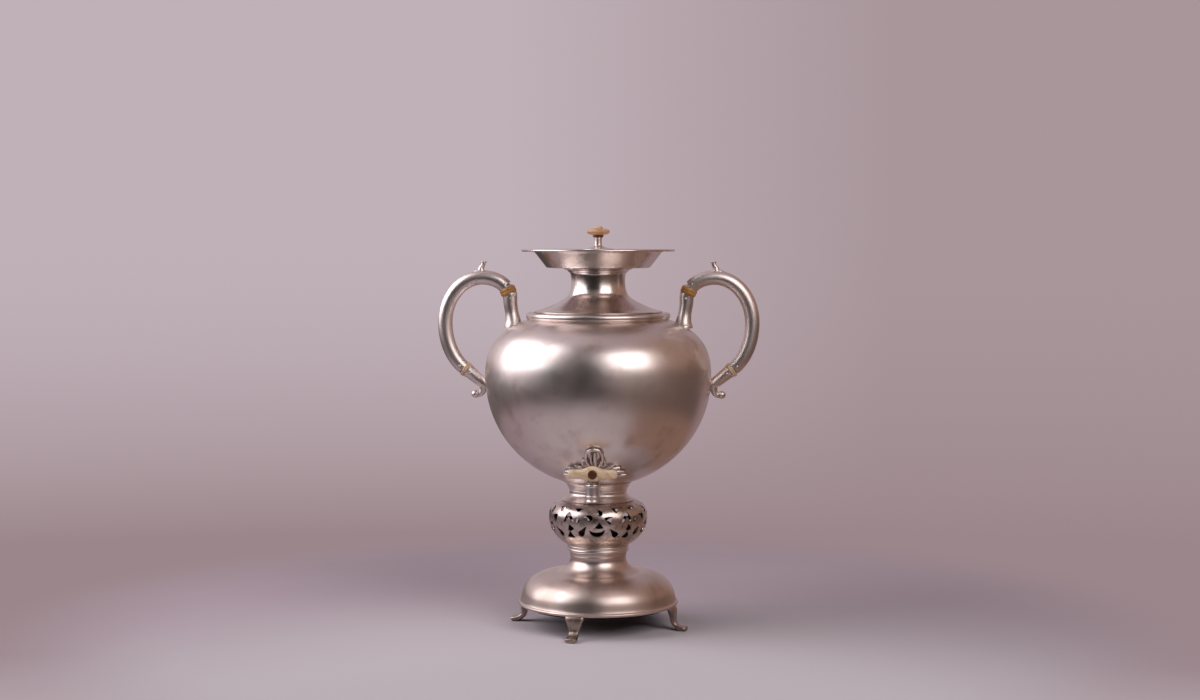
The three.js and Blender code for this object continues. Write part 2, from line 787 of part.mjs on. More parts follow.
/** The dish: a flat floor round the mouth, a sloping side and a broad level brim. */
function mouthDish() {
  const mouth = neckRadius - sheetWall;
  const brimFootZ = neckTopZ + dishHeight;
  const brimTopZ = brimFootZ + brimThickness;
  return turned([
    flat(mouth, neckTopZ),
    flat(dishFloorRadius, neckTopZ),
    flat(dishTopRadius, brimFootZ),
    flat(brimRadius - brimWire, brimFootZ),
    flat(brimRadius, brimFootZ + half(brimThickness)),
    flat(brimRadius - brimWire, brimTopZ),
    flat(dishTopRadius - half(sheetWall), brimTopZ),
    flat(dishFloorRadius - sheetWall, dishFloorZ),
    flat(mouth, dishFloorZ),
  ]);
}

add("mouth_dish", mouthDish(), silver);

// Lid: lifts out of the dish
const lidTopZ = dishFloorZ + lidRise;
const lidSkirtRadius = neckRadius - sheetWall - fitGap;

/** Domed lid with a flat edge on the dish's floor. */
function lidDome() {
  const edge = lidRadius - lidBossRadius;
  const inset = sheetWall;
  const centre = flat(lidBossRadius, dishFloorZ + inset);
  const outer = oval(centre, edge, lidRise - inset, 1.6, 0, 90, 3);
  const under = flat(lidBossRadius, dishFloorZ);
  const inner = oval(under, edge - inset * 2, lidRise - inset, 1.6, 90, 0, 2);
  const studHole = studRadius + fitGap;
  return turned([
    flat(lidRadius, dishFloorZ),
    ...outer,
    flat(studHole, lidTopZ),
    flat(studHole, lidTopZ - inset),
    ...inner,
  ]);
}

add("lid_dome", lidDome(), silver);

/** Skirt under the lid that drops in the neck and carries the lid's rim. */
function lidSkirt() {
  const flangeRadius = lidRadius - sheetWall * 2 - fitGap * 2;
  return turned([
    flat(lidSkirtRadius - sheetWall, dishFloorZ - lidSkirtDepth),
    flat(lidSkirtRadius, dishFloorZ - lidSkirtDepth),
    flat(lidSkirtRadius, dishFloorZ),
    flat(flangeRadius, dishFloorZ),
    flat(flangeRadius - half(sheetWall), dishFloorZ + half(sheetWall)),
    flat(lidSkirtRadius - sheetWall, dishFloorZ + half(sheetWall)),
  ], mediumSides);
}

add("lid_skirt", lidSkirt(), silver);

/** Flared boss and stem under the button, in one turning, bored for the stud. */
function knobStem() {
  const hollow = flat(lidBossRadius, lidTopZ + bossRise);
  const bore = studRadius + fitGap;
  const stemTop = lidTopZ + bossRise + stemHeight;
  return turned([
    flat(bore, lidTopZ),
    flat(lidBossRadius, lidTopZ),
    ...oval(hollow, stemRadius - lidBossRadius, -bossRise * 0.8, 1.5, 80, 0, 4),
    flat(stemRadius, stemTop),
    flat(bore, stemTop),
  ], smallSides);
}

const stemTopZ = lidTopZ + bossRise + stemHeight;
const collarEndZ = stemTopZ + stemCollarHeight;
const buttonTopZ = collarEndZ + buttonHeight;
add("knob_stem", knobStem(), silver);
const studBore = studRadius + fitGap;
const stemCollar = [
  flat(studBore, stemTopZ),
  flat(stemRadius, stemTopZ),
  flat(stemCollarRadius, stemTopZ + half(stemCollarHeight)),
  flat(stemCollarRadius, collarEndZ),
  flat(studBore, collarEndZ),
];
add("knob_collar", turned(stemCollar, smallSides), darkHorn);

/** Flattened ivory button, bored for the stud. */
function ivoryButton() {
  const middle = flat(0, mix(collarEndZ, buttonTopZ, 0.5));
  const rise = half(buttonHeight);
  const footTurnDown = turnAt(stemCollarRadius / buttonRadius, 2.4);
  const lower = oval(middle, buttonRadius, -rise, 2.4, footTurnDown, 0, 3);
  const upper = oval(middle, buttonRadius, rise, 2.4, 25, turnAt(capRadius / buttonRadius, 2.4), 3);
  return turned([flat(studBore, collarEndZ), ...lower, ...upper, flat(studBore, buttonTopZ)], smallSides);
}

add("ivory_button", ivoryButton(), paleIvory);

// The cap is the head of a stud that holds the button, the stem and the lid together
const studEndZ = lidTopZ - sheetWall * 4;
const capStud = [
  flat(0, studEndZ),
  flat(studRadius, studEndZ),
  flat(studRadius, buttonTopZ),
  flat(capRadius, buttonTopZ),
  flat(capRadius * 0.85, buttonTopZ + capHeight * 0.6),
  flat(0, buttonTopZ + capHeight),
];
add("button_cap", turned(capStud, smallSides), silver);
const lidNutTop = lidTopZ - sheetWall;
add("lid_nut", nut(studBore, studRadius * 3, lidNutTop - sheetWall * 2, lidNutTop), steel);

// Handles: a planar path of three oval arcs over the shoulder, crown to the right of the axis
const gripCentreZ = gripCrownZ - gripUpperDrop;
const pathVector = (x, z) => new THREE.Vector3(x, 0, z);

/** Place and heading on the arc inside the crown, by turn from the foot of that arc. */
function innerArc(turn) {
  const angle = turn * degrees;
  const [across, up] = [Math.cos(angle), Math.sin(angle)];
  const at = pathVector(gripCrownX - gripInnerReach * across, gripCrownZ - gripInnerDrop * (1 - up));
  const along = pathVector(gripInnerReach * up, gripInnerDrop * across).normalize();
  return { at, along };
}

/** Place and heading on the arc outside the crown, by turn from the crown. */
function outerArc(turn) {
  const angle = turn * degrees;
  const [across, up] = [Math.sin(angle), Math.cos(angle)];
  const drop = up > 0 ? gripUpperDrop : gripLowerDrop;
  const at = pathVector(gripCrownX + gripOuterReach * across, gripCentreZ + drop * up);
  const along = pathVector(gripOuterReach * up, -drop * across).normalize();
  return { at, along };
}

const upperRing = innerArc(upperRingTurn);
const lowerRing = outerArc(quarterTurn + lowerRingTurn);
const step = ({ at, along }, distance) => ({ at: at.clone().addScaledVector(along, distance), along });

/** Ivory ring with a spigot on each side, standing along z. */
function ivoryRing(radius, thickness) {
  const face = half(thickness);
  const end = face + ringSpigotLength;
  return turned([
    flat(0, -end),
    flat(ringSpigotRadius, -end),
    flat(ringSpigotRadius, -face),
    flat(radius * 0.93, -face),
    flat(radius, -face * 0.5),
    flat(radius, face * 0.5),
    flat(radius * 0.93, face),
    flat(ringSpigotRadius, face),
    flat(ringSpigotRadius, end),
    flat(0, end),
  ], tubeSides);
}

/** Cutter for a tube's end: the socket that takes a ring's spigot. */
function spigotCut(ring, thickness, side) {
  const face = half(thickness);
  const end = face + ringSpigotLength + fitGap;
  const [fromZ, toZ] = side > 0 ? [face - cutOverrun, end] : [-end, cutOverrun - face];
  return aimed(post(ringSpigotRadius + fitGap, fromZ, toZ, tubeSides), ring.at, ring.along);
}

/** Grip between the two ivory rings. */
function gripTube() {
  const upperGap = half(upperRingThickness) + fitGap;
  const lowerGap = half(lowerRingThickness) + fitGap;
  const sections = [{ ...step(upperRing, upperGap), radius: gripTubeRadius }];
  for (let part = 1; part < 3; part += 1) {
    sections.push({ ...innerArc(mix(upperRingTurn, quarterTurn, (part + 0.4) / 3)), radius: gripTubeRadius });
  }
  for (let part = 0; part < 9; part += 1) {
    sections.push({ ...outerArc(mix(0, quarterTurn + lowerRingTurn, part / 9.4)), radius: gripTubeRadius });
  }
  sections.push({ ...step(lowerRing, -lowerGap), radius: mix(gripTubeRadius, lowerSocketCup, 0.5) });
  const upperCup = spigotCut(upperRing, upperRingThickness, 1);
  return cut(sweep(sections), upperCup, spigotCut(lowerRing, lowerRingThickness, -1));
}

/** The bowl grown by the fit, for cutting what seats on it. */
const bowlClearance = turned([...bowlWall(fitGap, 8), flat(0, bowlWall(fitGap, 8).at(-1).y)]);

/** Upper socket, from the ivory ring down to the shoulder, where it spreads. */
function upperSocket() {
  const gap = half(upperRingThickness) + fitGap;
  const head = step(upperRing, -gap);
  const footX = head.at.x - half(upperSocketRadius);
  const footZ = shoulderHeight(footX);
  const down = pathVector(0, 1);
  const rise = head.at.z - footZ;
  const at = (x, share) => pathVector(x, footZ + rise * share);
  const spread = upperSocketFoot;
  const sections = [
    { at: at(footX, -0.18), along: down, radius: spread },
    { at: at(footX, 0.04), along: down, radius: mix(spread, upperSocketRadius, 0.35) },
    { at: at(mix(footX, head.at.x, 0.3), 0.2), along: down, radius: mix(spread, upperSocketRadius, 0.8) },
    { at: at(mix(footX, head.at.x, 0.8), 0.5), along: down, radius: upperSocketRadius },
    { ...head, radius: upperSocketRadius },
  ];
  return cut(sweep(sections), bowlClearance, spigotCut(upperRing, upperRingThickness, -1));
}

/** Lower socket, from the ivory ring in to the bowl, with a tail that curls off below. */
function lowerSocket() {
  const gap = half(lowerRingThickness) + fitGap;
  const head = step(lowerRing, gap);
  const touchZ = head.at.z - (lowerSocketRadius + tailRadius * 2);
  const touch = pathVector(bowlRadius + lowerSocketRadius * 0.55, touchZ);
  const tail = pathVector(bowlRadius + lowerSocketRadius * 0.6, touchZ - tailRadius * 3);
  const tip = pathVector(bowlRadius + lowerSocketRadius * 1.75, touchZ - tailRadius * 3.4);
  const knee = head.at.clone().lerp(touch, 0.4).addScaledVector(head.along, lowerSocketRadius * 0.3);
  const curve = new THREE.CatmullRomCurve3([head.at, knee, touch, tail, tip]);
  const radii = [lowerSocketCup, lowerSocketRadius, lowerSocketRadius, tailRadius * 1.3, tailRadius];
  const sections = [];
  const steps = 8;
  for (let part = 0; part <= steps; part += 1) {
    const share = part / steps;
    const scaled = share * (radii.length - 1);
    const low = Math.min(Math.floor(scaled), radii.length - 2);
    const radius = mix(radii[low], radii[low + 1], scaled - low);
    const along = part === 0 ? head.along : curve.getTangent(share);
    sections.push({ at: curve.getPoint(share), along, radius });
  }
  const ball = new THREE.SphereGeometry(tailBall, pinSides, half(pinSides));
  ball.rotateX(Math.PI / 2).translate(tip.x, 0, tip.z);
  const tube = join(sweep(sections), ball);
  return cut(tube, bowlClearance, spigotCut(lowerRing, lowerRingThickness, 1));
}

/** Thumb spur on the crown: a leaf-shaped foot, a leaning stem and a small cross cap. */
function thumbSpur() {
  const baseZ = gripCrownZ + gripTubeRadius - spurStem;
  const foot = pathVector(gripCrownX + spurLean, baseZ);
  const head = pathVector(gripCrownX - spurStem, baseZ + spurHeight + spurStem);
  const up = head.clone().sub(foot).normalize();
  const upright = pathVector(0, 1);
  const leaf = sweep([
    { at: foot, along: upright, radius: half(spurBaseLength), width: half(spurBaseWidth) },
    { at: foot.clone().lerp(head, 0.3), along: upright, radius: spurStem * 2.1, width: spurStem * 1.3 },
    { at: foot.clone().lerp(head, 0.55), along: up, radius: spurStem * 0.8 },
    { at: head, along: upright, radius: spurStem * 0.8 },
  ], pinSides);
  const cap = post(half(spurCapLength), head.z, head.z + spurCapHeight, pinSides).translate(head.x, 0, 0);
  const sections = [];
  for (let part = -2; part <= 2; part += 1) {
    const place = part < 0 ? innerArc(quarterTurn + part * spurInnerTurn) : outerArc(part * spurOuterTurn);
    sections.push({ ...place, radius: gripTubeRadius + fitGap });
  }
  return cut(join(leaf, cap), sweep(sections));
}

["right", "left"].forEach((side) => {
  const group = new THREE.Group();
  group.rotation.z = side === "left" ? Math.PI : 0;
  urn.add(group);
  const upperIvory = aimed(ivoryRing(upperRingRadius, upperRingThickness), upperRing.at, upperRing.along);
  const lowerIvory = aimed(ivoryRing(lowerRingRadius, lowerRingThickness), lowerRing.at, lowerRing.along);
  add(`${side}_upper_socket`, upperSocket(), silver, group);
  add(`${side}_upper_ivory_ring`, upperIvory, amberIvory, group);
  add(`${side}_grip`, gripTube(), silver, group);
  add(`${side}_lower_ivory_ring`, lowerIvory, paleIvory, group);
  add(`${side}_lower_socket`, lowerSocket(), silver, group);
  add(`${side}_thumb_spur`, thumbSpur(), silver, group);
});

// Tap: made along +X and then turned to the front
const barrelTopZ = barrelFootZ + barrelHeight;
const portZ = mix(barrelFootZ, barrelTopZ, 0.42);

/** Path of the shank's middle, from inside the bowl out to the barrel. */
function shankSections(radius, inside, end) {
  const bend = rootAt(shankStraight);
  const last = pathVector(end, portZ);
  const corner = pathVector(rootAt((rootZ - portZ) / -rootAlong.z).x, portZ);
  const curve = new THREE.QuadraticBezierCurve3(bend, corner, last);
  const sections = [{ at: rootAt(-inside), along: rootAlong, radius }];
  const steps = 4;
  for (let part = 0; part <= steps; part += 1) {
    const along = curve.getTangent(part / steps);
    sections.push({ at: curve.getPoint(part / steps), along, radius });
  }
  return sections;
}

/** Barrel with its spout below, tapered bore and shank. */
function tapBody() {
  const rim = barrelRadius + barrelRim;
  const spoutFoot = barrelFootZ - spoutLength;
  const barrel = turned([
    flat(0, spoutFoot - spoutSlant),
    flat(spoutRadius + half(barrelRim), spoutFoot - spoutSlant),
    flat(spoutRadius, spoutFoot + half(spoutLength)),
    flat(spoutRadius, barrelFootZ),
    flat(barrelRadius, barrelFootZ + barrelRim),
    flat(barrelRadius, barrelTopZ - barrelRim * 3),
    flat(rim, barrelTopZ - barrelRim * 2),
    flat(rim, barrelTopZ),
    flat(0, barrelTopZ),
  ], smallSides).translate(tapReach, 0, 0);
  const shank = sweep(shankSections(shankRadius, shankInside, tapReach - half(barrelRadius)));
  const bore = sweep(shankSections(shankBore, shankInside + cutOverrun, tapReach), pinSides);
  const seat = turned([
    flat(0, spoutFoot - spoutSlant - cutOverrun),
    flat(plugFootRadius, spoutFoot - spoutSlant - cutOverrun),
    flat(plugFootRadius + fitGap, barrelFootZ),
    flat(plugTopRadius + fitGap, barrelTopZ),
    flat(plugTopRadius + fitGap, barrelTopZ + cutOverrun),
    flat(0, barrelTopZ + cutOverrun),
  ], smallSides).translate(tapReach, 0, 0);
  const across = spoutRadius + cutOverrun;
  const slant = [
    flat(tapReach - across, spoutFoot - spoutSlant - cutOverrun),
    flat(tapReach + across, spoutFoot - spoutSlant - cutOverrun),
    flat(tapReach + across, spoutFoot),
    flat(tapReach - across, spoutFoot - spoutSlant),
  ];
  return cut(join(barrel, shank), bore, seat, slab(slant, -across, across));
}

const leverFootZ = barrelTopZ + fitGap + plugHeadHeight;
const leverMiddleZ = leverFootZ + half(leverHeight);
const plugFootZ = barrelFootZ + fitGap * 2;

/** Tapered plug, hollow from below, with a side port and a stem for the lever. */
function tapPlug() {
  const stemTop = leverMiddleZ + half(half(leverHeight));
  const body = turned([
    flat(0, plugFootZ),
    flat(plugFootRadius, plugFootZ),
    flat(plugTopRadius, barrelTopZ + fitGap),
    flat(plugHeadRadius, barrelTopZ + fitGap),
    flat(plugHeadRadius, leverFootZ - fitGap),
    flat(plugStemRadius, leverFootZ - fitGap),
    flat(plugStemRadius, stemTop),
    flat(0, stemTop),
  ], smallSides);
  const bore = post(plugBore, plugFootZ - cutOverrun, portZ + plugBore, pinSides);
  const port = post(plugBore, 0, plugTopRadius + cutOverrun, pinSides).rotateX(Math.PI / 2);
  return cut(body, bore, port.translate(0, 0, portZ), pinHole());
}

/** Hole for the lever's pin, lying across the lever. */
function pinHole() {
  const reach = leverThickness;
  const hole = post(leverPinRadius + fitGap, -reach, reach, pinSides).rotateY(Math.PI / 2);
  return hole.translate(0, 0, leverMiddleZ);
}

/** Ivory cross lever: its front outline crossed with its taper seen from above. */
function tapLever() {
  const [long, high, endHigh] = [half(leverLength), half(leverHeight), half(leverEndHeight)];
  const upperSide = [
    [-long, 0], [-long * 0.96, endHigh * 0.7], [-long * 0.84, endHigh], [-long * 0.5, endHigh * 1.06],
    [-long * 0.24, high * 0.86], [0, high],
  ];
  const upper = rounded(upperSide, 12);
  const upperRight = upper.slice(0, -1).reverse().map((point) => flat(-point.x, point.y));
  const top = [...upper, ...upperRight];
  const bottom = top.slice(1, -1).reverse().map((point) => flat(point.x, -point.y));
  const front = slab([...top, ...bottom], -leverThickness, leverThickness).translate(0, 0, leverMiddleZ);
  const [deep, endDeep] = [half(leverThickness), half(leverEndThickness)];
  const plan = new THREE.Shape([
    flat(-long - cutOverrun, -endDeep), flat(-long * 0.4, -deep), flat(long * 0.4, -deep),
    flat(long + cutOverrun, -endDeep), flat(long + cutOverrun, endDeep), flat(long * 0.4, deep),
    flat(-long * 0.4, deep), flat(-long - cutOverrun, endDeep),
  ]);
  const column = new THREE.ExtrudeGeometry(plan, { depth: leverHeight * 2, bevelEnabled: false });
  const bar = common(front, column.translate(0, 0, leverMiddleZ - leverHeight));
  const stem = post(plugStemRadius + fitGap, leverFootZ - cutOverrun, leverMiddleZ + half(high) + fitGap);
  const hole = pinHole().rotateZ(Math.PI / 2);
  return cut(bar, stem, hole);
}

/** Pin through the lever, with a round head on each face. */
function leverPin() {
  const face = half(leverThickness) + fitGap;
  const out = face + leverPinProud;
  const pin = turned([
    flat(0, -out),
    flat(leverPinHead * 0.8, -out),
    flat(leverPinHead, -face),
    flat(leverPinRadius, -face),
    flat(leverPinRadius, face),
    flat(leverPinHead, face),
    flat(leverPinHead * 0.8, out),
    flat(0, out),
  ], smallSides);
  return pin.rotateX(Math.PI / 2).translate(0, 0, leverMiddleZ);
}

add("tap_body", toFront(tapBody()), silver);
const tapKey = new THREE.Group();
tapKey.position.y = -tapReach;
urn.add(tapKey);
add("tap_plug", tapPlug().rotateZ(Math.PI / 2), silver, tapKey);
add("tap_lever", tapLever(), paleIvory, tapKey);
add("lever_pin", leverPin(), darkHorn, tapKey);

// Washer and nut that draw the shank against the bowl from inside; the washer is cut to the wall
const shankFit = shankRadius + fitGap;
const washerFoot = -sheetWall - fitGap - tapWasherHeight;
const washerBlank = aimed(washer(shankFit, tapNutRadius, washerFoot, cutOverrun), rootPlace, rootAlong);
const waterLine = bowlWall(-sheetWall - fitGap, 6);
const bowlInside = turned([...waterLine, flat(0, waterLine.at(-1).y)]);
const tapWasher = common(toFront(washerBlank), bowlInside);
const nutFace = washerFoot - fitGap;
const tapNut = nut(shankFit, tapNutRadius, nutFace - tapNutHeight, nutFace);
add("tap_washer", tapWasher, leather);
add("tap_nut", toFront(aimed(tapNut, rootPlace, rootAlong)), silver);

/** Pierced cup over the shank's inner end, which keeps scale out of the plug. */
function strainerCup() {
  const foot = nutFace - tapNutHeight - fitGap;
  const top = foot - strainerRise;
  const inner = strainerRadius - sheetWall * 0.6;
  const cup = turned([
    flat(0, top),
    flat(strainerRadius, top),
    flat(strainerRadius, foot),
    flat(inner, foot),
    flat(inner, top + sheetWall * 0.6),
    flat(0, top + sheetWall * 0.6),
  ], smallSides);
  const holes = [];
  const rings = 6;
  for (let ring = 0; ring < rings; ring += 1) {
    const angle = (ring / rings) * 2 * Math.PI;
    const place = inner * 0.6;
    const hole = post(strainerHole, top - cutOverrun, top + cutOverrun, 6);
    holes.push(hole.translate(place * Math.cos(angle), place * Math.sin(angle), 0));
  }
  return cut(cup, ...holes);
}

add("inlet_strainer", toFront(aimed(strainerCup(), rootPlace, rootAlong)), silver);

// Cast plate behind the tap: a skin that follows the bowl, cut to an outline of leaves
const plateHalfShares = [
  [0.0, 0.0], [0.2, 0.03], [0.42, 0.16], [0.78, 0.1], [1.0, 0.3], [0.92, 0.5],
  [0.62, 0.5], [0.4, 0.44], [0.24, 0.52], [0.44, 0.6], [0.46, 0.78], [0.3, 0.82],
  [0.26, 0.94], [0.12, 1.0], [0.0, 1.0],
];
const crestLowShare = 0.6;
const crestHighShare = 0.9;
const crestWideShare = 0.19;
const crestBarShare = 0.05;

/** The leaf plate, with its pierced crest. */
function leafPlate() {
  const footZ = rootZ - plateHeight * plateFootShare;
  const wide = half(plateWidth);
  const place = ([acrossShare, upShare]) => [wide * acrossShare, footZ + plateHeight * upShare];
  const right = rounded(plateHalfShares.map(place), 22);
  const left = right.slice(1, -1).reverse().map((point) => flat(-point.x, point.y));
  const reach = bowlRadius + plateThickness;
  const outline = slab([...right, ...left], -reach, -shankStraight);
  const skin = turned([...bowlWall(plateThickness + fitGap, 8), flat(0, bowlWidestZ)]);
  const loops = [1, -1].map((side) => {
    const bar = side * wide * crestBarShare;
    const out = side * wide * crestWideShare;
    const [low, high] = [footZ + plateHeight * crestLowShare, footZ + plateHeight * crestHighShare];
    const drop = [flat(bar, low), flat(out, mix(low, high, 0.5)), flat(bar, high)];
    return slab(drop, -reach, -shankStraight);
  });
  const plate = common(outline, skin);
  return cut(plate, bowlClearance, toFront(shankHole.clone()), toFront(shankClearance()), ...loops);
}

/** The shank's own path grown by the fit, to free the leaf plate round it. */
function shankClearance() {
  return sweep(shankSections(shankRadius + fitGap, shankInside, tapReach));
}

add("tap_leaf_plate", leafPlate(), silver);

export default urn;
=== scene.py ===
"""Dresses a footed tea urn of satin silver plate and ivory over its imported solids.

Sizes are millimetres in the frame of the solids: +Z up, the tap towards -Y, handles along X.
"""

from __future__ import annotations

import logging
import math
from dataclasses import dataclass, field, replace
from enum import Enum
from typing import Any, Callable, Sequence

import bmesh
import bpy
from mathutils import Matrix, Vector, noise

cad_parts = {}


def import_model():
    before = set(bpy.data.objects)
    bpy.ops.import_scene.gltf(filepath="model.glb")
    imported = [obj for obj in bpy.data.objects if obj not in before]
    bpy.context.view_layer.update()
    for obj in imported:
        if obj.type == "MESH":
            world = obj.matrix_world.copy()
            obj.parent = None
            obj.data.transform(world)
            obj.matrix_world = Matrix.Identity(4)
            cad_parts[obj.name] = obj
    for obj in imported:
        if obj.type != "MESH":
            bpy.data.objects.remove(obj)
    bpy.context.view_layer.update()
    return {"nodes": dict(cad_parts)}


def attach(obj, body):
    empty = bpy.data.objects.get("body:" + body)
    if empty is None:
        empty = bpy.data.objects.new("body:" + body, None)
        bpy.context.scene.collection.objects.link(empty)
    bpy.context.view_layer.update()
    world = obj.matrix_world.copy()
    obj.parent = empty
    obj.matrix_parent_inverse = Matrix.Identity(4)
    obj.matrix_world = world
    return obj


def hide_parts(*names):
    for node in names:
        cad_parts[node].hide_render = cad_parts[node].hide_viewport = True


LOG = logging.getLogger("tea_urn")
# Metres in a millimetre, and the thickness of the spun sheet in millimetres
MM = 0.001
SHEET = 1.5
# Radius of the hole for the stand's bolt, and of the hole for the stud in the lid's knob
BOLT_HOLE = 3.3
STUD_HOLE = 2.1
# Facets round a large spun piece, and spans in a rounded corner
ROUND = 192
CORNER_SPANS = 4
# Corners that turn by less than this many radians, about 18 degrees, stay as they are
SLIGHT_TURN = 0.31
# A rounded corner takes at most this share of each of its sides
CORNER_SHARE = 0.46
# Lengths below this count as none
TINY = 1e-6
# Faces whose normals point inwards by more than this take the finish of the inside
INWARD = -0.2
# Numbers of a mix node's colour sockets, whose names repeat, and of its result
MIX_SHARE, MIX_FROM, MIX_TO, MIXED = 0, 6, 7, 2

Point = tuple[float, float]
Mesh = bmesh.types.BMesh


class Body(Enum):
    """The moving bodies of the urn."""

    STAND = "stand"
    URN = "urn"
    LID = "lid"
    KEY = "tap_key"


class Side(Enum):
    """The side of the bowl that a handle stands on, and how far it is turned from the right."""

    RIGHT = 0.0
    LEFT = math.pi


# Numbers and outlines


def mix(start: float, end: float, share: float) -> float:
    """Returns the value a share of the way from start to end."""
    return start + (end - start) * share


def smooth(value: float, low: float, high: float) -> float:
    """Returns 0 below low and 1 above high, eased between them."""
    share = min(max((value - low) / (high - low), 0.0), 1.0)
    return share * share * (3 - 2 * share)


def linear(code: str) -> tuple[float, float, float, float]:
    """Turns an sRGB hex colour to linear light.

    Args:
        code: The colour, such as "#c0b0a8".

    Returns:
        Red, green, blue and an alpha of 1.
    """
    parts = [int(code[i : i + 2], 16) / 255 for i in (1, 3, 5)]
    red, green, blue = (p / 12.92 if p <= 0.04045 else ((p + 0.055) / 1.055) ** 2.4 for p in parts)
    return red, green, blue, 1.0


def oval(
    centre: Point, reach: Point, power: float, from_turn: float, to_turn: float, steps: int
) -> list[Point]:
    """Returns points on a quarter of a superellipse.

    Args:
        centre: Radius and height of its middle.
        reach: Half-axes across and up, negative where they point in or down.
        power: 2 gives an ellipse, more gives fuller shoulders.
        from_turn: First turn from the level, in degrees.
        to_turn: Last turn from the level, in degrees.
        steps: Number of spans.

    Returns:
        The points, in order.
    """
    points = []
    for step in range(steps + 1):
        turn = math.radians(mix(from_turn, to_turn, step / steps))
        across = abs(math.cos(turn)) ** (2 / power)
        up = abs(math.sin(turn)) ** (2 / power)
        points.append((centre[0] + reach[0] * across, centre[1] + reach[1] * up))
    return points


def softened(outline: Sequence[Point], radius: float, ring: bool = True) -> list[Point]:
    """Rounds the corners of an outline, so that its edges catch the light.

    Args:
        outline: The corners, in order.
        radius: How far a corner is cut back at most.
        ring: Whether the last corner joins the first.

    Returns:
        The outline with every corner rounded that turns by more than a slight turn.
    """
    corners = [Vector(p) for p in outline]
    count = len(corners)
    result: list[Point] = []
    for i, corner in enumerate(corners):
        if not ring and i in (0, count - 1):
            result.append(tuple(corner))
            continue
        back, ahead = corners[i - 1] - corner, corners[(i + 1) % count] - corner
        if back.length < TINY or ahead.length < TINY or math.pi - back.angle(ahead) < SLIGHT_TURN:
            result.append(tuple(corner))
            continue
        cut = min(radius, CORNER_SHARE * back.length, CORNER_SHARE * ahead.length)
        start, end = corner + back.normalized() * cut, corner + ahead.normalized() * cut
        for step in range(CORNER_SPANS + 1):
            share = step / CORNER_SPANS
            result.append(tuple(start.lerp(corner, share).lerp(corner.lerp(end, share), share)))
    return result


def rounded(points: Sequence[Point], steps: int, ring: bool = True) -> list[Point]:
    """Runs a smooth curve through the points of an outline.

    Args:
        points: The points, in order.
        steps: Spans between two points.
        ring: Whether the curve closes.

    Returns:
        The points on the curve.
    """
    knots = [Vector(p) for p in points]
    count = len(knots)
    spans = count if ring else count - 1
    curve: list[Point] = []
    for i in range(spans):
        near = range(i - 1, i + 3)
        before, start, end, after = (knots[k % count if ring else min(max(k, 0), count - 1)] for k in near)
        for step in range(steps):
            t = step / steps
            place = 0.5 * (
                2 * start
                + (end - before) * t
                + (2 * before - 5 * start + 4 * end - after) * t * t
                + (3 * start - before - 3 * end + after) * t**3
            )
            curve.append(tuple(place))
    if not ring:
        curve.append(tuple(knots[-1]))
    return curve


# Meshes


def spun(outline: Sequence[Point], segments: int = ROUND) -> Mesh:
    """Spins an outline of radius and height round the upright axis.

    Args:
        outline: Its points. It is closed unless both ends lie on the axis.
        segments: Facets round the piece.

    Returns:
        The mesh, closed and with its faces outwards.
    """
    mesh = bmesh.new()
    verts = [mesh.verts.new((radius, 0, height)) for radius, height in outline]
    edges = [mesh.edges.new(pair) for pair in zip(verts, verts[1:])]
    if outline[0][0] > TINY or outline[-1][0] > TINY:
        edges.append(mesh.edges.new((verts[-1], verts[0])))
    bmesh.ops.spin(
        mesh, geom=[*verts, *edges], cent=(0, 0, 0), axis=(0, 0, 1), angle=math.tau, steps=segments,
        use_merge=True,
    )
    bmesh.ops.remove_doubles(mesh, verts=mesh.verts, dist=1e-4)
    bmesh.ops.recalc_face_normals(mesh, faces=mesh.faces)
    return mesh


@dataclass(frozen=True)
class Section:
    """One cross-section of a swept piece: place, heading, half-width, half-depths, fullness and ribs."""

    at: Vector
    along: Vector
    across: float
    deep: float
    back: float | None = None
    power: float = 2.0
    ribs: float = 0.0
    side: Vector = field(default_factory=lambda: Vector((0, 1, 0)))

    def point(self, turn: float) -> Vector:
        """Returns the point of the section at a turn, with 0 on its front.

        Args:
            turn: Angle round the section, in radians.

        Returns:
            The point.
        """
        side = self.side.normalized()
        front = side.cross(self.along).normalized()
        cos, sin = math.cos(turn), math.sin(turn)
        deep = self.deep if cos > 0 or self.back is None else self.back
        out = math.copysign(abs(cos) ** (2 / self.power), cos) * deep
        over = math.copysign(abs(sin) ** (2 / self.power), sin) * self.across
        if self.ribs and cos > 0:
            # A raised line along each edge of the front, with a hollow between them
            line = math.exp(-(((abs(sin) - 0.78) / 0.14) ** 2))
            hollow = math.exp(-((sin / 0.5) ** 4))
            out *= 1 + self.ribs * (line - 0.45 * hollow)
        return self.at + front * out + side * over


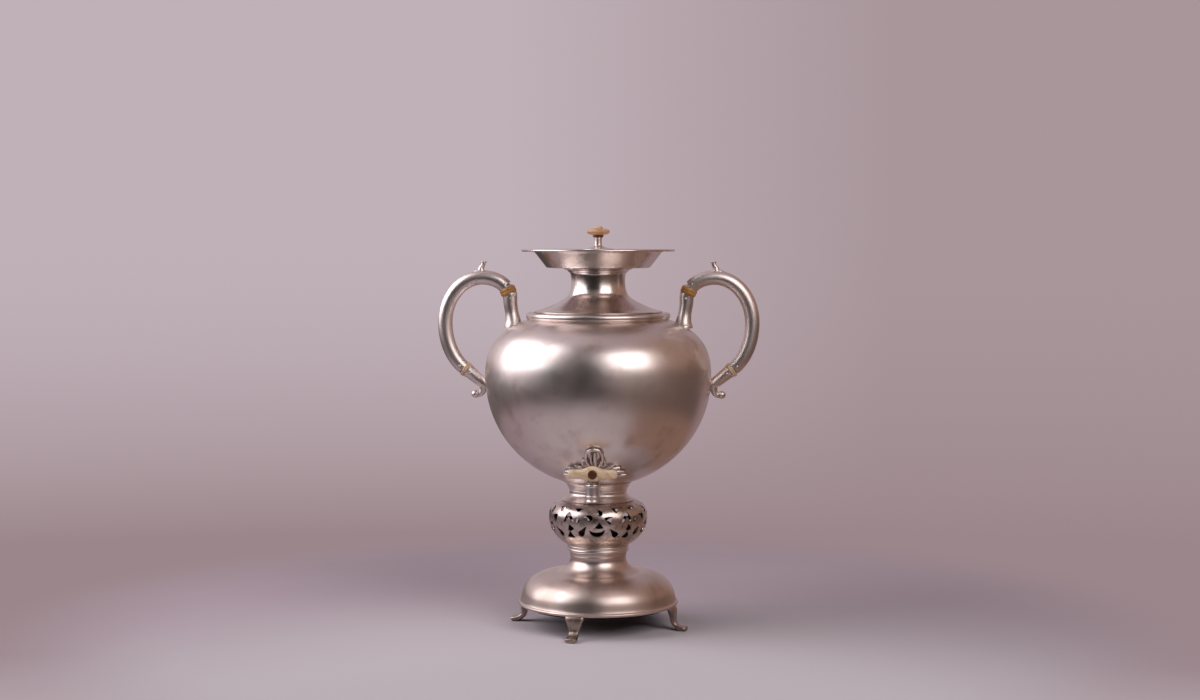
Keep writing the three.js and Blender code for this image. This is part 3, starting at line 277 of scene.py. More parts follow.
def swept(sections: Sequence[Section], sides: int = 48) -> Mesh:
    """Carries a ring through sections and closes its ends.

    Args:
        sections: The cross-sections, in order.
        sides: Facets round the piece.

    Returns:
        The closed mesh.
    """
    mesh = bmesh.new()
    ring = bmesh.ops.create_circle(mesh, cap_ends=False, radius=1.0, segments=sides)["verts"]
    turns = {vert: math.atan2(vert.co.y, vert.co.x) for vert in ring}
    for vert in ring:
        vert.co = sections[0].point(turns[vert])
    first = edges = list(mesh.edges)
    for section in sections[1:]:
        grown = bmesh.ops.extrude_edge_only(mesh, edges=edges)["geom"]
        verts = [g for g in grown if isinstance(g, bmesh.types.BMVert)]
        edges = [g for g in grown if isinstance(g, bmesh.types.BMEdge) and g.is_boundary]
        before, turns = turns, {}
        for vert in verts:
            below = next(e.other_vert(vert) for e in vert.link_edges if e.other_vert(vert) in before)
            turns[vert] = before[below]
            vert.co = section.point(turns[vert])
    for loop in (first, edges):
        bmesh.ops.edgeloop_fill(mesh, edges=loop)
    bmesh.ops.recalc_face_normals(mesh, faces=mesh.faces)
    return mesh


def headings(places: Sequence[Vector]) -> list[Vector]:
    """Returns the direction of a path at each of its places.

    Args:
        places: The places, in order.

    Returns:
        One unit vector for each place.
    """
    ahead = [*places[1:], places[-1]]
    behind = [places[0], *places[:-1]]
    return [(b - a).normalized() for a, b in zip(behind, ahead)]


def path_sections(
    places: Sequence[Vector], sizes: Sequence[Point], steps: int, power: float = 2.0
) -> list[Section]:
    """Returns sections along a smooth path through a few places.

    Args:
        places: The places that the path meets.
        sizes: Half-width and half-depth at each place.
        steps: Spans between two places.
        power: 2 gives round sections, more gives fuller ones.

    Returns:
        The sections, in order.
    """
    thinnest = 0.05
    level = rounded([(place.x, place.y) for place in places], steps, ring=False)
    rise = rounded([(place.z, place.z) for place in places], steps, ring=False)
    curve = [Vector((x, y, z)) for (x, y), (z, _) in zip(level, rise)]
    return [
        Section(at, along, max(wide, thinnest), max(deep, thinnest), power=power)
        for at, along, (wide, deep) in zip(curve, headings(curve), rounded(sizes, steps, ring=False))
    ]


def round_end(section: Section, reach: float, steps: int) -> list[Section]:
    """Returns sections that close a swept piece with a rounded end beyond its last one.

    Args:
        section: The last section.
        reach: How far the end stands out.
        steps: Number of sections.

    Returns:
        The sections, each smaller than the one before.
    """
    # A little short of a right angle, so that the last section isn't a point
    last_turn = math.radians(88)
    ends = []
    for step in range(1, steps + 1):
        turn = step / steps * last_turn
        shrink = math.cos(turn)
        at = section.at + section.along.normalized() * reach * math.sin(turn)
        across, deep = section.across * shrink, section.deep * shrink
        back = None if section.back is None else section.back * shrink
        ends.append(replace(section, at=at, across=across, deep=deep, back=back))
    return ends


def flat_sheet(outline: Sequence[Point], holes: Sequence[Sequence[Point]], cell: Point) -> Mesh:
    """Makes a flat sheet in the XZ plane, pierced by holes and cut into small cells.

    Args:
        outline: Its outer edge.
        holes: The edges of its holes.
        cell: Spacing of the cuts across and up.

    Returns:
        The open mesh.
    """
    mesh = bmesh.new()
    for loop in (outline, *holes):
        verts = [mesh.verts.new((x, 0, z)) for x, z in loop]
        for pair in zip(verts, [*verts[1:], verts[0]]):
            mesh.edges.new(pair)
    bmesh.ops.triangle_fill(mesh, use_beauty=True, edges=mesh.edges[:], normal=(0, -1, 0))
    for axis, size in ((0, cell[0]), (2, cell[1])):
        low = min(v.co[axis] for v in mesh.verts)
        high = max(v.co[axis] for v in mesh.verts)
        square = Vector([float(axis == k) for k in range(3)])
        for step in range(math.ceil(low / size + 1e-3), math.ceil(high / size - 1e-3)):
            geom = [*mesh.verts, *mesh.edges, *mesh.faces]
            bmesh.ops.bisect_plane(mesh, geom=geom, dist=1e-5, plane_co=square * size * step, plane_no=square)
    return mesh


def edge_distance(place: Vector, loops: Sequence[Sequence[Point]]) -> float:
    """Returns how far a place on a flat sheet lies from the nearest of its edges.

    Args:
        place: The place.
        loops: The sheet's edges.

    Returns:
        The distance.
    """
    spot = Vector((place.x, place.z))
    best = math.inf
    for loop in loops:
        for start, end in zip(loop, [*loop[1:], loop[0]]):
            a, b = Vector(start), Vector(end)
            span = b - a
            share = min(max((spot - a).dot(span) / max(span.length_squared, 1e-12), 0.0), 1.0)
            best = min(best, (a + span * share - spot).length_squared)
    return math.sqrt(best)


def walled(mesh: Mesh, front: Callable[[Vector], Vector], back: Callable[[Vector], Vector]) -> Mesh:
    """Gives an open sheet a second skin and closes its rims.

    Args:
        mesh: The open sheet.
        front: Where each of its places comes to lie.
        back: Where the second skin lies behind each place.

    Returns:
        The closed mesh.
    """
    rims = [e for e in mesh.edges if e.is_boundary]
    verts = mesh.verts[:]
    copy = bmesh.ops.duplicate(mesh, geom=[*verts, *mesh.edges, *mesh.faces])
    twin = {vert: copy["vert_map"][vert] for vert in verts}
    bmesh.ops.reverse_faces(mesh, faces=[g for g in copy["geom"] if isinstance(g, bmesh.types.BMFace)])
    for vert, behind in twin.items():
        place = vert.co.copy()
        vert.co, behind.co = front(place), back(place)
    for edge in rims:
        start, end = edge.verts
        mesh.faces.new((start, end, twin[end], twin[start]))
    bmesh.ops.recalc_face_normals(mesh, faces=mesh.faces)
    return mesh


def turned_to(mesh: Mesh, matrix: Matrix) -> Mesh:
    """Moves a mesh by a matrix and returns it."""
    bmesh.ops.transform(mesh, matrix=matrix, verts=mesh.verts)
    return mesh


def merged(*meshes: Mesh) -> Mesh:
    """Puts several meshes in the first of them.

    Args:
        meshes: The meshes. All but the first are used up.

    Returns:
        The first mesh.
    """
    kept = meshes[0]
    for extra in meshes[1:]:
        holder = bpy.data.meshes.new("holder")
        extra.to_mesh(holder)
        extra.free()
        kept.from_mesh(holder)
        bpy.data.meshes.remove(holder)
    return kept


def standing(at: Vector, along: Vector) -> Matrix:
    """Returns the matrix that stands a piece made on +Z along a direction, at a place."""
    return Matrix.Translation(at) @ Vector((0, 0, 1)).rotation_difference(along).to_matrix().to_4x4()


def waved(mesh: Mesh, amplitude: float, scale: float) -> Mesh:
    """Presses faint waves into a spun wall, as hand spinning and use leave.

    Args:
        mesh: The mesh.
        amplitude: Height of the waves.
        scale: Waves in a millimetre.

    Returns:
        The same mesh.
    """
    for vert in mesh.verts:
        out = Vector((vert.co.x, vert.co.y, 0))
        if out.length > 1e-3:
            vert.co += out.normalized() * amplitude * noise.noise(vert.co * scale)
    return mesh


# Finishes


def add_node(tree: bpy.types.NodeTree, kind: str, inputs: dict[Any, Any] | None = None, **settings: Any) -> Any:
    """Adds a node with its settings, values and links.

    Args:
        tree: The node tree.
        kind: The node's type.
        inputs: Values or linked sockets by input name or number.
        settings: Fields of the node.

    Returns:
        The node.
    """
    node = tree.nodes.new(kind)
    for name, value in settings.items():
        setattr(node, name, value)
    for key, value in (inputs or {}).items():
        if isinstance(value, bpy.types.NodeSocket):
            tree.links.new(value, node.inputs[key])
        else:
            node.inputs[key].default_value = value
    return node


def start_material(name: str) -> tuple[bpy.types.Material, bpy.types.NodeTree, Any]:
    """Makes an empty material.

    Args:
        name: Its name.

    Returns:
        The material, its node tree and the Object coordinate socket.
    """
    material = bpy.data.materials.new(name)
    material.use_nodes = True
    tree = material.node_tree
    tree.nodes.clear()
    return material, tree, add_node(tree, "ShaderNodeTexCoord").outputs["Object"]


def blended(
    tree: bpy.types.NodeTree, value: Any, span: Point, first: Any, second: Any, most: float = 1.0, **easing: Any
) -> Any:
    """Adds a colour that goes from one to another while a value crosses a span.

    Args:
        tree: The node tree.
        value: The socket whose value decides.
        span: Its values where the change starts and ends.
        first: Colour or socket at the start.
        second: Colour or socket at the end.
        most: The second colour's share at the end.
        easing: Fields of the node that turns the value to a share.

    Returns:
        The socket of the colour.
    """
    limits = {"Value": value, "From Min": span[0], "From Max": span[1], "To Max": most}
    share = add_node(tree, "ShaderNodeMapRange", limits, **easing).outputs["Result"]
    inputs = {MIX_SHARE: share, MIX_FROM: first, MIX_TO: second}
    return add_node(tree, "ShaderNodeMix", inputs, data_type="RGBA").outputs[MIXED]


def finish_material(tree: bpy.types.NodeTree, inputs: dict[str, Any]) -> None:
    """Ends a material with its surface shader.

    Args:
        tree: The node tree.
        inputs: Values and sockets of the surface shader.
    """
    surface = add_node(tree, "ShaderNodeBsdfPrincipled", inputs)
    add_node(tree, "ShaderNodeOutputMaterial", {"Surface": surface.outputs["BSDF"]})


@dataclass(frozen=True)
class SatinSilver:
    """Silver plate, spun or cast and then buffed: a soft wide gloss with a warm tarnish in patches.

    The tarnish starts where its noise passes tarnish_from and is as deep as it gets tarnish_fade above.
    """

    name: str
    slot: str
    bright: str = "#f0e8e4"
    dull: str = "#dacac2"
    tarnish: str = "#ad937e"
    gloss: float = 0.33
    stain_mm: float = 38.0
    streak_mm: float = 0.7
    streaks: bool = True
    marks: float = 0.12
    marks_mm: float = 0.12
    tarnish_from: float = 0.5
    tarnish_fade: float = 0.3
    tarnish_depth: float = 0.5

    def make(self) -> bpy.types.Material:
        """Returns the material, with rubbed marks round the axis where the piece was spun.

        Returns:
            The material.
        """
        material, tree, place = start_material(self.name)
        broad = add_node(
            tree, "ShaderNodeTexNoise",
            {"Vector": place, "Scale": 1000 / self.stain_mm, "Detail": 4.0, "Roughness": 0.6},
        ).outputs["Fac"]
        tone = add_node(
            tree, "ShaderNodeMix",
            {MIX_SHARE: broad, MIX_FROM: linear(self.bright), MIX_TO: linear(self.dull)},
            data_type="RGBA",
        ).outputs[MIXED]
        patch = add_node(
            tree, "ShaderNodeTexNoise",
            {"Vector": place, "Scale": 1700 / self.stain_mm, "Detail": 2.0, "Roughness": 0.5},
        ).outputs["Fac"]
        edges = (self.tarnish_from, self.tarnish_from + self.tarnish_fade)
        tarnish = linear(self.tarnish)
        colour = blended(
            tree, patch, edges, tone, tarnish, most=self.tarnish_depth, interpolation_type="SMOOTHSTEP"
        )
        # Buffing marks run round the axis, so their noise is long across and short up
        thin = (0.04, 0.04, 1.0) if self.streaks else (0.3, 0.3, 0.3)
        turned = add_node(tree, "ShaderNodeMapping", {"Vector": place, "Scale": thin}).outputs["Vector"]
        marks = add_node(
            tree, "ShaderNodeTexNoise",
            {"Vector": turned, "Scale": 1000 / self.streak_mm, "Detail": 3.0, "Roughness": 0.55},
        ).outputs["Fac"]
        # The gloss varies with the stains, a little sharper where they are faint
        blur = add_node(
            tree, "ShaderNodeMapRange",
            {
                "Value": broad, "From Min": 0.3, "From Max": 0.7, "To Min": self.gloss - 0.04,
                "To Max": self.gloss + 0.07,
            },
        )
        relief = {"Height": marks, "Strength": self.marks, "Distance": self.marks_mm * MM}
        bump = add_node(tree, "ShaderNodeBump", relief)
        finish_material(
            tree,
            {
                "Base Color": colour, "Metallic": 1.0, "Roughness": blur.outputs["Result"],
                "Normal": bump.outputs["Normal"],
            },
        )
        return material


@dataclass(frozen=True)
class Ivory:
    """Turned and polished ivory: close curved grain, a waxy gloss, darker where it has aged."""

    name: str
    slot: str
    pale: str
    aged: str
    vein: str
    # Scale of the wave that draws the grain, whose bands come to about 8 mm apart
    grain: float = 1000 / 22

    def make(self) -> bpy.types.Material:
        """Returns the material, with grain lines that cross and patches of age.

        Returns:
            The material.
        """
        material, tree, place = start_material(self.name)
        warp = add_node(tree, "ShaderNodeTexNoise", {"Vector": place, "Scale": 160.0, "Detail": 3.0})
        lines = add_node(
            tree, "ShaderNodeTexWave",
            {
                "Vector": place, "Scale": self.grain, "Distortion": 5.0, "Detail": 3.0,
                "Detail Scale": 2.0, "Detail Roughness": 0.6,
            },
            bands_direction="DIAGONAL",
        )
        aged = add_node(
            tree, "ShaderNodeMix",
            {MIX_SHARE: warp.outputs["Fac"], MIX_FROM: linear(self.pale), MIX_TO: linear(self.aged)},
            data_type="RGBA",
        ).outputs[MIXED]
        colour = blended(tree, lines.outputs["Fac"], (0.55, 1.0), aged, linear(self.vein), most=0.45)
        bump = add_node(
            tree, "ShaderNodeBump", {"Height": lines.outputs["Fac"], "Strength": 0.1, "Distance": 0.0001}
        )
        finish_material(
            tree,
            {
                "Base Color": colour, "Roughness": 0.38, "IOR": 1.54, "Subsurface Weight": 0.12,
                "Subsurface Radius": (0.004, 0.0025, 0.0015), "Subsurface Scale": 0.5,
                "Normal": bump.outputs["Normal"],
            },
        )
        return material


@dataclass(frozen=True)
class Grained:
    """A plain material of two tones with a fine grain: horn, leather, steel or cotton."""

    name: str
    slot: str
    light: str
    dark: str
    roughness: float
    metallic: float
    grain_mm: float
    depth_mm: float
    stretch: tuple[float, float, float] = (1.0, 1.0, 1.0)

    def make(self) -> bpy.types.Material:
        """Returns the material, with its grain in colour and in the surface.

        Returns:
            The material.
        """
        material, tree, place = start_material(self.name)
        drawn = add_node(tree, "ShaderNodeMapping", {"Vector": place, "Scale": self.stretch})
        grain = add_node(
            tree, "ShaderNodeTexNoise",
            {"Vector": drawn.outputs["Vector"], "Scale": 1000 / self.grain_mm, "Detail": 5.0, "Roughness": 0.6},
        )
        colour = add_node(
            tree, "ShaderNodeMix",
            {MIX_SHARE: grain.outputs["Fac"], MIX_FROM: linear(self.light), MIX_TO: linear(self.dark)},
            data_type="RGBA",
        )
        bump = add_node(
            tree, "ShaderNodeBump",
            {"Height": grain.outputs["Fac"], "Strength": 0.5, "Distance": self.depth_mm * MM},
        )
        finish_material(
            tree,
            {
                "Base Color": colour.outputs[MIXED], "Metallic": self.metallic,
                "Roughness": self.roughness, "Normal": bump.outputs["Normal"],
            },
        )
        return material


Finish = SatinSilver | Ivory | Grained

SPUN_SILVER = SatinSilver("satin_spun_silver_plate", "silver_plate")
# The base is the most worn and stained of the spun silver
WORN_SILVER = SatinSilver(
    "worn_spun_silver_plate", "silver_plate", bright="#e6d9d2", dull="#c9b5a9", tarnish="#8d7563",
    tarnish_from=0.46, tarnish_depth=0.4, stain_mm=60.0, gloss=0.34,
)
NECK_SILVER = replace(SPUN_SILVER, name="bright_spun_silver_plate", gloss=0.23)
INNER_SILVER = SatinSilver(
    "tarnished_inner_silver_plate", "silver_plate", bright="#8f7e72", dull="#5f4c41", tarnish="#3b2a22",
    tarnish_from=0.4, gloss=0.45,
)
# Cast silver is darker all over than the spun, with deeper tarnish in small random patches
CAST_SILVER = SatinSilver(
    "cast_silver_plate", "cast_silver", bright="#c6b7ae", dull="#998678", tarnish="#6f5a4a",
    tarnish_from=0.46, tarnish_depth=0.7, stain_mm=14.0, streaks=False, marks=0.05, gloss=0.36,
)
BUFFED_SILVER = SatinSilver(
    "buffed_silver_plate", "cast_silver",
    tarnish_from=0.6, stain_mm=26.0, streaks=False, marks=0.01, gloss=0.37,
)
PIERCED_SILVER = SatinSilver(
    "chased_silver_plate", "cast_silver", bright="#e6dad4", dull="#b3a096", tarnish="#755c4a",
    tarnish_from=0.5, tarnish_depth=0.7, stain_mm=8.0, streaks=False, marks=0.16, gloss=0.28,
)
# Painted shade: near-black silver that stands for the shade under the base, on the wire beneath its edge and
# inside the pierced gallery round the lamp's font
SHADE_DARK_SILVER = replace(
    INNER_SILVER,
    name="lamp_sooted_silver_plate", bright="#4d4039", dull="#2b211d", tarnish="#17100d", gloss=0.6,
)
PALE_IVORY = Ivory("polished_pale_ivory", "pale_ivory", "#f0d6b8", "#dfb68e", "#c2946a")
CREAM_IVORY = Ivory("handled_cream_ivory", "pale_ivory", "#ffe8c9", "#f4cda3", "#d1a176")
KNOB_IVORY = Ivory("waxed_warm_ivory", "pale_ivory", "#ecba90", "#dc9f70", "#b57b52")
AMBER_IVORY = Ivory("stained_amber_ivory", "amber_ivory", "#dba65c", "#bd7f3a", "#8d5b28")
DARK_HORN = Grained(
    "polished_dark_horn", "dark_horn", "#74451f", "#43240f",
    roughness=0.3, metallic=0.0, grain_mm=2.0, depth_mm=0.05,
)
WASHER_LEATHER = Grained(
    "greased_washer_leather", "washer_leather", "#5f3f26", "#3c2616",
    roughness=0.75, metallic=0.0, grain_mm=0.8, depth_mm=0.15,
)
BOLT_STEEL = Grained(
    "turned_steel", "steel", "#9b9d9f", "#6f7275",
    roughness=0.36, metallic=1.0, grain_mm=0.5, depth_mm=0.02, stretch=(0.1, 0.1, 1.0),
)
LAMP_COTTON = Grained(
    "woven_cotton_wick", "wick_cotton", "#e8e0d0", "#b9ae9a",
    roughness=0.95, metallic=0.0, grain_mm=0.7, depth_mm=0.3,
)


class Workshop:
    """Turns meshes into finished pieces and keeps one material for each finish."""

    def __init__(self) -> None:
        """Starts with no material made."""
        self.made: dict[str, bpy.types.Material] = {}

    def material(self, finish: Finish) -> bpy.types.Material:
        """Returns the material of a finish, made once.

        Args:
            finish: The finish.

        Returns:
            The material.
        """
        if finish.name not in self.made:
            self.made[finish.name] = finish.make()
        return self.made[finish.name]

    def piece(
        self,
        name: str,
        mesh: Mesh,
        finish: Finish,
        body: Body,
        stands_for: Sequence[str] = (),
        crease: float = 38.0,
        inside: Finish | None = None,
    ) -> bpy.types.Object:
        """Makes a finished piece that rides on a body.

        Args:
            name: Name of the piece.
            mesh: Its shape in millimetres, which is used up.
            finish: What it is made of.
            body: The body it moves with.
            stands_for: Solids that it replaces.
            crease: Edges sharper than this many degrees stay sharp.
            inside: Finish of the faces that look at the axis, where it differs.

        Returns:
            The object.
        """
        if inside:
            for face in mesh.faces:
                centre = face.calc_center_median()
                out = Vector((centre.x, centre.y, 0)).normalized()
                face.material_index = int(face.normal.dot(out) < INWARD)
        bmesh.ops.transform(mesh, matrix=Matrix.Scale(MM, 4), verts=mesh.verts)
        data = bpy.data.meshes.new(name)
        mesh.to_mesh(data)
        mesh.free()
        data.polygons.foreach_set("use_smooth", [True] * len(data.polygons))
        data.set_sharp_from_angle(angle=math.radians(crease))
        data.materials.append(self.material(finish))
        if inside:
            data.materials.append(self.material(inside))
        piece = bpy.data.objects.new(name, data)
        bpy.context.scene.collection.objects.link(piece)
        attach(piece, body.value)
        if stands_for:
            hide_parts(*stands_for)
        LOG.info("%s: %d faces, %s", name, len(data.polygons), finish.name)
        return piece

    def carry_over(self, nodes: dict[str, bpy.types.Object], name: str, finish: Finish) -> None:
        """Gives a solid whose shape is kept its finish.

        Args:
            nodes: The solids by name.
            name: Name of the solid.
            finish: What it is made of.
        """
        node = nodes[name]
        node.data.materials.clear()
        node.data.materials.append(self.material(finish))
        LOG.info("%s: kept, %s", name, finish.name)


# The stand


@dataclass(frozen=True)
class Base:
    """The spun base: beaded edge, low dome and pedestal, hollow beneath."""

    rim_height: float = 23.0
    rim_radius: float = 74.0
    bead_height: float = 26.0
    bead_radius: float = 83.7
    # Half-width of the bead, and how far it reaches below and above its middle
    bead: tuple[float, float, float] = (2.2, 2.0, 1.8)
    radius: float = 80.7
    widest: float = 30.4
    shoulder: float = 35.7
    dome_rise: float = 27.6
    dome_power: float = 2.08
    pedestal: float = 29.2
    flare_rise: float = 14.0
    flare_power: float = 1.7
    band: float = 8.0
    top: float = 80.0
    lip_width: float = 4.0
    lip_height: float = 2.2

    def wall(self, inset: float) -> list[Point]:
        """Returns the wall from its edge to its pedestal, drawn in by an inset, and beaded where it has none.

        Args:
            inset: How far inside the outer skin.

        Returns:
            The points from the edge up.
        """
        hollow = self.radius - self.shoulder
        flare = hollow - self.pedestal + inset
        foot = self.top - self.band
        edge_reach = (self.radius - self.rim_radius - inset, inset - (self.widest - self.rim_height))
        edge = oval((self.rim_radius, self.widest), edge_reach, 2, 90, 0, 8)
        if not inset:
            wide, below, above = self.bead
            bead = (self.bead_radius - wide, self.bead_height)
            edge = [
                (self.rim_radius, self.rim_height), (self.rim_radius + 2.5, self.rim_height + 0.5),
                (bead[0] - 1.4, bead[1] - below),
                *oval(bead, (wide, -below), 2, 80, 0, 7),
                *oval(bead, (wide, above), 2, 6, 74, 6),
                (self.radius + 1.0, self.bead_height + 2.1), (self.radius + 0.5, self.widest - 0.8),
                (self.radius + 0.2, self.widest + 1.2),
            ]
        dome_reach = (self.shoulder - inset, self.dome_rise - inset)
        return [
            *edge,
            *oval((hollow, self.widest), dome_reach, self.dome_power, 7, 90, 26),
            *oval((hollow, foot), (-flare, -self.flare_rise - inset), self.flare_power, 86, 0, 14),
        ]

    def build(self, shop: Workshop) -> None:
        """Spins the dome and the half-round wire under its edge.

        Args:
            shop: The workshop that finishes the pieces.
        """
        outline = [
            (self.rim_radius - SHEET, self.rim_height),
            *self.wall(0),
            *oval((self.pedestal, self.top), (0.9, -4.5), 2, 90, 0, 6),
            (BOLT_HOLE, self.top), (BOLT_HOLE, self.top - SHEET),
            (self.pedestal - SHEET, self.top - SHEET),
            *reversed(self.wall(SHEET)),
            (self.rim_radius - SHEET, self.rim_height + SHEET),
        ]
        dome = waved(spun(softened(outline, 0.4)), amplitude=0.12, scale=0.03)
        # Painted shade: the dome's inner faces are near-black silver for the shade beneath the base
        shop.piece("base_dome_shell", dome, WORN_SILVER, Body.STAND, ["base_dome"], inside=SHADE_DARK_SILVER)
        outer = self.rim_radius + 1.2
        middle, reach = outer - self.lip_width / 2, self.lip_width / 2
        wire = [
            *oval((middle, self.rim_height), (reach, -self.lip_height), 2, 0, 90, 8),
            *oval((middle, self.rim_height), (-reach, -self.lip_height), 2, 90, 0, 8),
            (middle - reach, self.rim_height + 0.5), (middle + reach, self.rim_height + 0.5),
        ]
        # Painted shade: the wire under the edge is near-black silver for the shadow there
        shop.piece("base_edge_wire", spun(softened(wire, 0.2)), SHADE_DARK_SILVER, Body.STAND, ["base_lip"])


@dataclass(frozen=True)
class Feet:
    """Four cast feet: each comes from under the beaded edge, with raised edges and a level toe."""

    turn: float = -104.4
    thinnest: float = 0.3
    # Radius and height, half-width and half-depth in front, half-depth behind and depth of the raised edges
    stations: tuple[tuple[float, float, float, float, float, float], ...] = (
        (80.0, 25.0, 10.0, 2.2, 3.0, 0.0),
        (80.6, 23.2, 10.1, 3.0, 4.2, 0.05),
        (81.0, 20.4, 9.3, 3.6, 4.2, 0.12),
        (81.3, 17.2, 7.9, 3.4, 3.6, 0.2),
        (81.6, 13.8, 6.7, 2.9, 3.0, 0.24),
        (81.9, 10.8, 5.6, 2.6, 2.8, 0.22),
        (83.0, 7.6, 5.3, 2.6, 2.8, 0.2),
        (85.8, 5.0, 5.4, 2.5, 2.9, 0.12),
        (89.6, 3.6, 6.1, 2.3, 3.6, 0.0),
        (93.4, 3.0, 6.3, 2.3, 3.0, 0.0),
        (95.8, 2.7, 5.4, 2.1, 2.7, 0.0),
    )

    def shape(self) -> Mesh:
        """Returns a foot that points along +X, level underneath.

        Returns:
            The closed mesh.
        """
        line, fronts, backs = (
            rounded([station[first : first + 2] for station in self.stations], 4, ring=False)
            for first in (0, 2, 4)
        )
        curve = [Vector((radius, 0, height)) for radius, height in line]
        sections = []
        for at, along, front, (back, ribs) in zip(curve, headings(curve), fronts, backs):
            wide, deep, back = (max(size, self.thinnest) for size in (*front, back))
            form = {"power": 2.6, "ribs": max(ribs, 0), "side": Vector((0, -1, 0))}
            sections.append(Section(at, along, wide, deep, back, **form))
        mesh = swept([*sections, *round_end(sections[-1], reach=0.8, steps=3)], sides=56)
        for vert in mesh.verts:
            vert.co.z = max(vert.co.z, 0.0)
        return mesh

    def build(self, shop: Workshop) -> None:
        """Casts one foot and turns it to its four places.

        Args:
            shop: The workshop that finishes the pieces.
        """
        for place, name in enumerate(("front", "right", "back", "left")):
            turn = Matrix.Rotation(math.radians(self.turn + 90 * place), 4, "Z")
            foot = turned_to(self.shape(), turn)
            shop.piece(f"{name}_leaf_foot", foot, CAST_SILVER, Body.STAND, [f"foot_{name}"])


class Piercing(Enum):
    """Outlines of the holes in the gallery, each about one unit tall."""

    COMMA = ((0.0, -0.5), (0.3, -0.42), (0.42, -0.18), (0.32, 0.06), (0.1, 0.28), (-0.24, 0.5), (-0.12, 0.2),
             (-0.1, 0.02), (-0.3, -0.12), (-0.3, -0.36))
    CRESCENT = ((-0.5, 0.26), (-0.46, 0.02), (-0.3, -0.18), (0.0, -0.27), (0.3, -0.18), (0.46, 0.02), (0.5, 0.26),
                (0.3, 0.14), (0.0, 0.1), (-0.3, 0.14))
    DROP = ((0.0, 0.5), (0.14, 0.16), (0.27, -0.14), (0.24, -0.38), (0.0, -0.5), (-0.24, -0.38), (-0.27, -0.14),
            (-0.14, 0.16))
    CHEVRON = ((0.0, 0.5), (0.2, 0.3), (0.38, -0.06), (0.5, -0.46), (0.24, -0.34), (0.08, -0.06), (-0.08, -0.06),
               (-0.24, -0.36), (-0.5, -0.5), (-0.38, -0.06), (-0.2, 0.3))
    TRIANGLE = ((0.06, 0.5), (0.26, 0.1), (0.5, -0.34), (0.3, -0.5), (-0.3, -0.5), (-0.5, -0.34), (-0.2, 0.1))
    WEDGE = ((-0.5, 0.42), (0.0, 0.5), (0.5, 0.42), (0.42, 0.1), (0.16, -0.36), (0.02, -0.5), (-0.16, -0.3),
             (-0.42, 0.14))


@dataclass(frozen=True)
class Hole:
    """One hole of a repeat: its kind, turn from the middle, height, width, length and tilt."""

    kind: Piercing
    turn: float
    height: float
    wide: float
    long: float
    tilt: float

    def outline(self, arc_radius: float, up: float) -> list[Point]:
        """Returns its outline on the unrolled sheet.

        Args:
            arc_radius: Radius at which the sheet was unrolled.
            up: Place of its middle along the sheet's height.

        Returns:
            The points of the outline.
        """
        tilt = math.radians(self.tilt)
        centre = math.radians(self.turn) * arc_radius
        points = []
        for x, z in rounded(self.kind.value, 3):
            x, z = x * self.wide, z * self.long
            across = x * math.cos(tilt) - z * math.sin(tilt)
            points.append((centre + across, up + x * math.sin(tilt) + z * math.cos(tilt)))
        return points


class UnrolledWall:
    """A spun wall laid out flat: lengths along it and the places that they stand for."""

    def __init__(self, points: Sequence[Point]) -> None:
        """Measures the wall.

        Args:
            points: Its outer points from the foot up.
        """
        self.points = points
        self.last = len(points) - 1
        self.heights = [height for _, height in points]
        self.lengths = [0.0]
        for start, end in zip(points, points[1:]):
            self.lengths.append(self.lengths[-1] + math.dist(start, end))

    def along(self, height: float) -> float:
        """Returns the length along the wall at a height.

        Args:
            height: The height.

        Returns:
            The length from the foot.
        """
        i = next((k for k in range(1, self.last) if self.heights[k] >= height), self.last)
        share = (height - self.heights[i - 1]) / (self.heights[i] - self.heights[i - 1])
        return mix(self.lengths[i - 1], self.lengths[i], share)

    def spot(self, up: float, inset: float = 0.0) -> Vector:
        """Returns the place at a length along the wall, drawn in by an inset.

        Args:
            up: Length from the foot.
            inset: How far inside the outer skin.

        Returns:
            Radius and height.
        """
        i = next((k for k in range(1, self.last) if self.lengths[k] >= up), self.last)
        start, end = Vector(self.points[i - 1]), Vector(self.points[i])
        run = (end - start).normalized()
        share = (up - self.lengths[i - 1]) / (self.lengths[i] - self.lengths[i - 1])
        return start.lerp(end, share) + Vector((-run.y, run.x)) * inset


